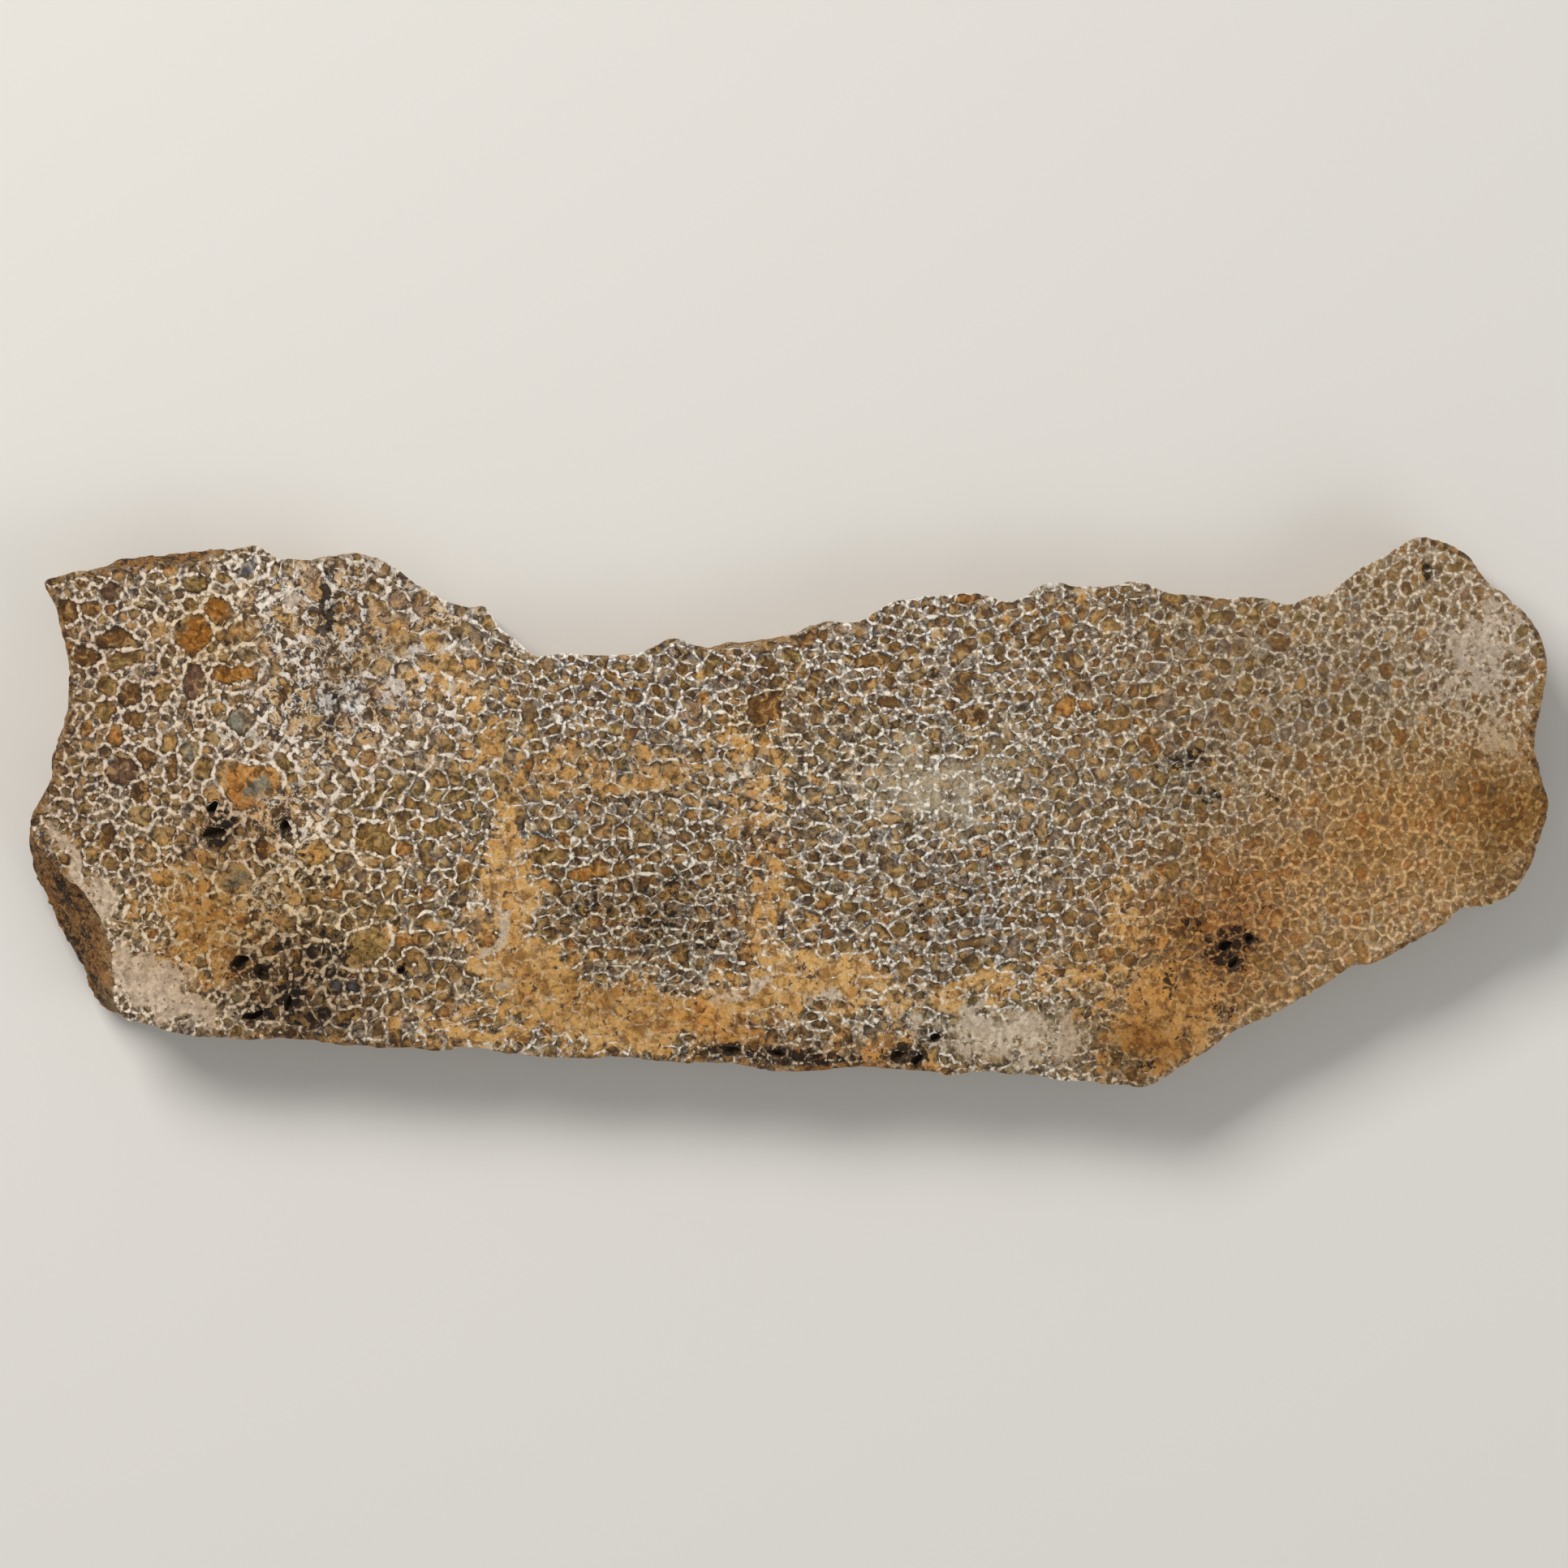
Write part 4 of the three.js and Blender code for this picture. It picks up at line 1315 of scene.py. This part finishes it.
def wall_network(m):
    """Where the walls are, the height in them, what fills the cells, and where painted shade lies beside
    the walls.
    """
    soft = m.field("soft")
    chaos = m.field("chaos")
    rough_edge = (m.mottle - 0.5) * 0.12 + (m.spots - 0.5) * 0.14
    torn_edge = ((m.clouds - 0.5) * 0.7 + (m.swirl - 0.5) * 0.3) * chaos
    height = m.field("wall_height") + rough_edge + torn_edge - 0.02
    blur = soft * 0.06 + chaos * 0.05
    walls = height.step(-0.05 - blur, 0.06 + blur)
    depth = 0.0 - height

    # Each cell is darker beside its wall, as painted shade, and its middle has its own colour. Deep
    # cells are banded.
    fill = m.mix(depth.step(0.1, 0.5), m.field_vector("cell_side"), m.field_vector("cell_middle"))
    fill = swirled(m, fill, srgb(64, 44, 20), srgb(186, 154, 106))
    bands = m.math("SINE", depth * 9.0 + m.swirl * 14.0) * depth.step(0.3, 0.7)
    fill = m.shade(fill, 1.0 + bands * 0.16)

    # A thin band of painted shade, dark or blue-grey, inside most walls, and a pale band inside others.
    band_beside_wall = depth.step(0.24, 0.1) * (1.0 - soft * 0.7)
    painted_wall_shade = m.mix(m.clouds.step(0.52, 0.62) * 0.8, srgb(48, 30, 14), srgb(64, 68, 76))
    fill = m.mix(band_beside_wall * m.swirl.step(0.64, 0.44) * 0.8, fill, painted_wall_shade)
    fill = m.mix(band_beside_wall * m.spots.step(0.44, 0.36) * 0.4, fill, srgb(176, 160, 132))
    soft_fill = m.mix(0.35, m.field_vector("cell_middle"), srgb(170, 134, 88))
    fill = m.mix(soft * 0.5, fill, m.shade(soft_fill, 0.95 + (m.clouds - 0.5) * 0.9))
    pale = (m.field("pale") + (m.clouds - 0.5) * 1.1).step(0.35, 0.9)
    fill = m.mix(pale * 0.6, fill, srgb(186, 170, 146))
    return walls, height, textured(m, fill), band_beside_wall * m.swirl.step(0.6, 0.48)


def wall_surface(m, height):
    """The colour of a wall: brightest along its middle, greyer at its sides and in patches."""
    tint = m.field_vector("wall_tint")
    light = m.field("wall_light")
    colour = m.mix(height.step(0.08, -0.02) * 0.5, tint, srgb(156, 138, 114))
    colour = m.turned(colour, [
        (light, 0.5, 0.0, 0.55, (146, 126, 100)),
        (m.clouds, 0.56, 0.68, 0.4, (140, 144, 142)),
        (m.mottle, 0.38, 0.33, 0.5, (96, 76, 56)),
    ])

    # Where the bone is torn the walls are whiter, thick, and pierced by blue-black and brown holes.
    colour = m.mix(m.field("chaos").step(0.3, 0.7) * light * 0.45, colour, srgb(242, 236, 226))
    holes = m.spots.step(0.4, 0.35) * m.field("chaos").step(0.3, 0.6)
    hole_colour = m.mix(m.clouds.step(0.46, 0.56), srgb(84, 62, 44), srgb(50, 52, 60))
    colour = m.mix(holes * 0.85, colour, hole_colour)
    return textured(m, colour, 0.6)


def torn_bone(m):
    """What fills the chaotic parts: smooth tan, olive and pinkish masses with dark clefts between."""
    mass = m.mix(m.masses.step(0.42, 0.54), srgb(136, 98, 52), srgb(212, 170, 112))
    mass = m.turned(mass, [
        (m.broad, 0.47, 0.55, 0.6, (188, 162, 138)),
        (m.clouds, 0.47, 0.38, 0.8, (88, 62, 30)),
        (m.swirl, 0.56, 0.66, 0.6, (234, 214, 184)),
    ])
    cleft = m.math("ABSOLUTE", m.masses - 0.455).step(0.028, 0.01)
    mass = m.mix(cleft * m.clouds.step(0.42, 0.48) * 0.9, mass, srgb(44, 32, 22))
    return textured(m, mass, 0.7)


def ochre_bone(m):
    """Ochre clay stone: smooth, with soft clouds, pale wisps and a few dark specks."""
    wisps = m.noise(m.torn, 0.8, 3.0, 0.6)
    colour = m.mix(m.clouds.step(0.38, 0.58), srgb(154, 112, 60), srgb(208, 164, 100))
    colour = m.turned(colour, [
        (wisps, 0.52, 0.66, 0.6, (216, 184, 136)),
        (m.masses, 0.56, 0.66, 0.6, (192, 138, 70)),
        (m.swirl, 0.46, 0.34, 0.65, (116, 84, 46)),
        (m.grain, 0.28, 0.2, 0.5, (84, 66, 46)),
    ])
    return textured(m, colour, 0.6)


def compact_bone(m):
    """Cream compact bone, mottled with pinkish grey, with small pores."""
    pore, random = m.voronoi(m.warp(m.place, 0.8, 0.8), 0.9)
    chance, _, _ = m.channels(random)
    colour = m.mix(0.6, m.field_vector("wall_tint"), srgb(196, 172, 146))
    colour = m.turned(colour, [
        (m.clouds, 0.44, 0.6, 0.6, (168, 150, 130)),
        (m.swirl, 0.42, 0.32, 0.5, (140, 116, 88)),
    ])
    colour = textured(m, colour, 0.8)
    return m.mix(pore.step(0.2, 0.1) * chance.step(0.6, 0.65) * 0.75, colour, srgb(100, 76, 56))


def bone_pattern(m):
    """The colour of cut bone, and where its walls are."""
    shared_noise(m)
    walls, height, fill, band_beside_wall = wall_network(m)
    wall_colour = wall_surface(m, height)

    # In the chaotic parts the cells hold torn bone, and here and there it hides the walls.
    chaos = m.field("chaos") + (m.clouds - 0.5) * 0.5
    in_chaos = chaos.step(0.35, 0.6)
    torn = torn_bone(m)
    fill = m.mix(in_chaos * 0.94, fill, torn)
    # In the torn parts the painted shade beside the walls is a darker brown.
    fill = m.mix(in_chaos * band_beside_wall * 0.8, fill, srgb(50, 38, 28))
    hidden = chaos.step(0.4, 0.65) * m.broad.step(0.52, 0.48) * 0.95

    # Ochre fills the cells first, and covers the walls where it is strongest.
    ochre = m.field("ochre") + (m.masses - 0.5) * 1.4 + (m.clouds - 0.5) * 0.7
    ochre_colour = ochre_bone(m)
    fill = m.mix(ochre.step(0.22, 0.42) * 0.9, fill, ochre_colour)
    colour = m.mix(walls * (1.0 - hidden), fill, wall_colour)
    colour = m.mix(ochre.step(0.45, 0.62) * (0.92 - walls * 0.3), colour, ochre_colour)

    # Pale threads with blue-black ones beside them run through the torn and the ochre bone, and
    # blue-black flecks lie along its walls.
    thready = in_chaos.most(m.field("ochre").step(0.06, 0.25))
    pale_thread = m.ridge.step(0.05, 0.034) * m.clouds.step(0.44, 0.5)
    colour = m.mix(in_chaos * pale_thread * hidden.step(0.0, 0.5) * 0.9, colour, wall_colour)
    dark_thread = m.ridge.step(0.02, 0.01) * m.clouds.step(0.52, 0.56) * in_chaos
    flecks = height.step(-0.26, -0.1) * m.spots.step(0.42, 0.37) * m.masses.step(0.51, 0.58)
    colour = m.mix(thready * dark_thread.most(flecks) * 0.85, colour, srgb(52, 48, 52))

    # Compact bone hides the walls, and at the soft end leaves some cells open as pores.
    compact = m.field("compact") + (m.clouds - 0.5) * 1.1 + (m.spots - 0.5) * 0.5
    pores = height.step(-0.3, -0.42) * m.field("soft") * m.broad.step(0.46, 0.5)
    covered = compact.step(0.36, 0.62) * (0.92 - pores * 0.8)
    colour = m.mix(covered, colour, compact_bone(m))

    # Dark minerals fill the cells of the dark clusters, and leave the walls.
    dark = m.field("dark") + (m.spots - 0.5) * 1.5 + (m.clouds - 0.5) * 0.7 + m.field("cavity")
    dark_fill = dark.step(0.5, 0.64) * (1.0 - walls * 0.8)
    colour = m.mix(dark_fill * 0.92, colour, BLACK)

    # The rim is stained brown where the edge has crumbled.
    rim = m.field("rim") + (m.mottle - 0.5) * 1.3 + (m.spots - 0.5) * 1.6
    rim = rim - m.field("rim_zone").step(0.8, 1.0) * 1.1
    at_rim = rim.step(1.0, 0.45) * m.field("rim_zone").step(0.2, 0.6)
    bark = m.mix(m.swirl.step(0.4, 0.6), srgb(72, 50, 26), srgb(148, 112, 64))
    colour = m.mix(at_rim * 0.85, colour, textured(m, bark, 1.2))
    colour = m.mix(1.0, colour, m.field_vector("stain"), "MULTIPLY")
    return colour, walls


def polished_face():
    """The polished face: the walls stand up a very little, and are a little less shiny."""
    m = Material("polished_bone")
    colour, walls = bone_pattern(m)
    scratches = m.noise(m.place, 1.8, 3.0, 0.7)
    roughness = 0.2 + walls * 0.14 + scratches * 0.12
    return m.finish(colour, roughness, walls * WALL_RELIEF, specular=0.4)


def broken_edge():
    """The broken edge, the natural skin and the insides of the cavities."""
    m = Material("broken_bone")
    place = m.place
    skin = m.field("skin").step(0.25, 0.6)
    bent = m.warp(place, 0.5, 0.8, flat=False)
    network, _ = m.cells(bent, 0.6, flat=False)
    lumps = m.noise(place, 0.8, 4.0, 0.65, flat=False)
    grain = m.noise(place, 2.2, 4.0, 0.7, flat=False)
    stain = m.noise(place, 0.2, 3.0, 0.6, flat=False)
    walls = (network + (lumps - 0.5) * 1.6 + (stain - 0.5) * 1.8).step(0.3, 0.9)
    bone = m.mix(grain.step(0.35, 0.65), srgb(132, 104, 70), srgb(192, 168, 130))
    fill = m.mix(lumps.step(0.36, 0.56), srgb(78, 54, 30), srgb(146, 110, 66))
    broken = m.mix(walls, fill, bone)
    broken = m.mix(stain.step(0.45, 0.65) * 0.6, broken, srgb(156, 114, 62))
    bark = m.mix(lumps.step(0.42, 0.56), srgb(54, 36, 18), srgb(138, 98, 52))
    bark = m.turned(bark, [
        (stain, 0.5, 0.62, 0.5, (160, 102, 42)),
        (grain, 0.55, 0.64, 0.7, (184, 144, 94)),
        (grain, 0.46, 0.38, 0.85, (30, 19, 9)),
    ])
    colour = m.mix(skin, broken, bark)
    in_cavity = m.field("cavity").step(0.4, 0.6)
    cavity_colour = m.mix(grain.step(0.5, 0.66), srgb(20, 14, 9), srgb(84, 60, 36))
    colour = m.mix(in_cavity * 0.9, colour, cavity_colour)
    height = lumps * 0.5 + grain * 0.3 + walls * 0.12 * (1.0 - skin)
    return m.finish(colour, 0.78, height, specular=0.35)


def sawn_back():
    """The back: dull, evenly coloured cells, with the saw's fine lines along it."""
    m = Material("sawn_bone")
    place = m.warp(m.place, 0.3, 1.6, detail=2.0)
    network, random = m.cells(place, 0.5)
    chance, tone, _ = m.channels(random)
    mottle = m.noise(m.place, 1.3, 4.0, 0.62)
    broad = m.noise(m.place, 0.09, 3.0, 0.55)
    walls = (network + (mottle - 0.5) * 1.2).step(0.36, 0.56)
    fill = m.mix(chance, srgb(104, 76, 42), srgb(150, 122, 80))
    fill = m.mix(tone.step(0.7, 0.9), fill, srgb(72, 52, 32))
    colour = m.mix(walls, fill, srgb(196, 176, 146))
    colour = m.mix(broad.step(0.5, 0.62) * 0.7, colour, srgb(182, 144, 90))
    colour = m.mix(0.3, colour, srgb(168, 148, 118))
    colour = m.shade(colour, 0.94 + (mottle - 0.5) * 1.4)
    stretched = m.vector("MULTIPLY", m.place, (0.06, 3.2, 1.0))
    saw_lines = m.noise(stretched, 1.0, 3.0, 0.6)
    colour = m.shade(colour, 0.86 + saw_lines * 0.26)
    return m.finish(colour, 0.62, saw_lines * 0.04 + walls * WALL_RELIEF, specular=0.4)


# ---- the piece -------------------------------------------

# The layout for baking, in shares of its size
SLAB_WIDTH = 0.98  # the width of the face and of the back
MARGIN = 0.01
STRIPS = 3  # the edge lies in strips above them
STRIP_LENGTH = 0.9
STRIP_HEIGHT = 0.075
STRIP_GAP = 0.005
ROUND = 2.4  # makes the slab about as wide as it is long, so that the strips hold alike lengths of edge


def lay_out(mesh):
    """A flat layout for baking: the face and the back at full width, and the edge in strips."""
    low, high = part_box(NODE)
    size = high - low
    scale = SLAB_WIDTH / size.x
    slab_height = size.y * scale
    coordinates = np.zeros((len(mesh.loops), 2))
    for polygon in mesh.polygons:
        corners = [mesh.vertices[v].co for v in polygon.vertices]
        if polygon.material_index == EDGE:
            turns = [(math.atan2(c.y * ROUND, c.x) / (2 * math.pi)) % 1.0 for c in corners]
            if max(turns) - min(turns) > 0.5:
                turns = [t + 1.0 if t < 0.5 else t for t in turns]
            strip = min(int(min(turns) * STRIPS), STRIPS - 1)
            base = 5 * MARGIN + 2 * slab_height + strip * (STRIP_HEIGHT + STRIP_GAP)
            across = [2 * MARGIN + (turn * STRIPS - strip) * STRIP_LENGTH for turn in turns]
            up = [base + (corner.z - low.z) / size.z * STRIP_HEIGHT for corner in corners]
        else:
            base = MARGIN if polygon.material_index == FACE else 3 * MARGIN + slab_height
            across = [MARGIN + (corner.x - low.x) * scale for corner in corners]
            up = [base + (corner.y - low.y) * scale for corner in corners]
        coordinates[polygon.loop_indices] = np.column_stack([across, up])
    mesh.uv_layers.new(name="OFBake").data.foreach_set("uv", coordinates.ravel())


def fossil_slab():
    """The slab, in place of the CAD solid."""
    mesh, in_cavity, fields = slab_mesh()
    store_fields(mesh, in_cavity, fields)
    lay_out(mesh)
    for material in (polished_face(), broken_edge(), sawn_back()):
        mesh.materials.append(material)
    slab = bpy.data.objects.new(PIECE, mesh)
    bpy.context.scene.collection.objects.link(slab)
    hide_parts(NODE)
    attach(slab, "root")


# ---- floor, light and camera -----------------------------

CAMERA_AIM = Vector((-0.3, 3.7, 12.0)) * MM  # what the middle of the picture looks at
FRAME_WIDTH = 205.2 * MM
LENS = 250.0  # a long lens, so the sides stay hidden behind the face
SENSOR = 36.0
CLIP = (0.01, 20.0)
FLOOR_REACH = 3.0

# Name, place, size, power and colour of each lamp, which faces the middle of the slab.
LAMPS = [
    ("key", (-0.5, 0.65, 0.75), (0.6, 0.45), 10.0, (1.0, 0.97, 0.92)),
    ("fill", (0.75, -0.45, 0.7), (0.8, 0.6), 3.0, (0.95, 0.98, 1.0)),
]


def studio():
    """The plain floor, the world's light and two lamps."""
    floor_mesh = bpy.data.meshes.new("floor")
    corners = [(x * FLOOR_REACH, y * FLOOR_REACH, 0) for x, y in ((-1, -1), (1, -1), (1, 1), (-1, 1))]
    floor_mesh.from_pydata(corners, [], [(0, 1, 2, 3)])
    floor_mesh.materials.append(Material("floor").finish(srgb(226, 224, 220), 0.9))
    floor = bpy.data.objects.new("floor", floor_mesh)
    bpy.context.scene.collection.objects.link(floor)

    world = bpy.data.worlds.new("studio")
    world.use_nodes = True
    background = world.node_tree.nodes["Background"]
    background.inputs["Color"].default_value = (1.0, 0.985, 0.96, 1.0)
    background.inputs["Strength"].default_value = 0.3
    bpy.context.scene.world = world

    for name, place, size, power, colour in LAMPS:
        light = bpy.data.lights.new(name, "AREA")
        light.shape = "RECTANGLE"
        light.size, light.size_y = size
        light.energy = power
        light.color = colour
        holder = bpy.data.objects.new(name, light)
        holder.location = place
        holder.rotation_mode = "QUATERNION"
        holder.rotation_quaternion = (-Vector(place)).to_track_quat("-Z", "Y")
        bpy.context.scene.collection.objects.link(holder)


def camera():
    """The camera, straight above the slab."""
    lens = bpy.data.cameras.new("camera")
    lens.lens = LENS
    lens.sensor_width = SENSOR
    lens.clip_start, lens.clip_end = CLIP
    holder = bpy.data.objects.new("camera", lens)
    holder.location = CAMERA_AIM + Vector((0, 0, FRAME_WIDTH * LENS / SENSOR))
    bpy.context.scene.collection.objects.link(holder)
    bpy.context.scene.camera = holder


camera()
studio()
fossil_slab()
bpy.context.scene.view_settings.view_transform = "Standard"
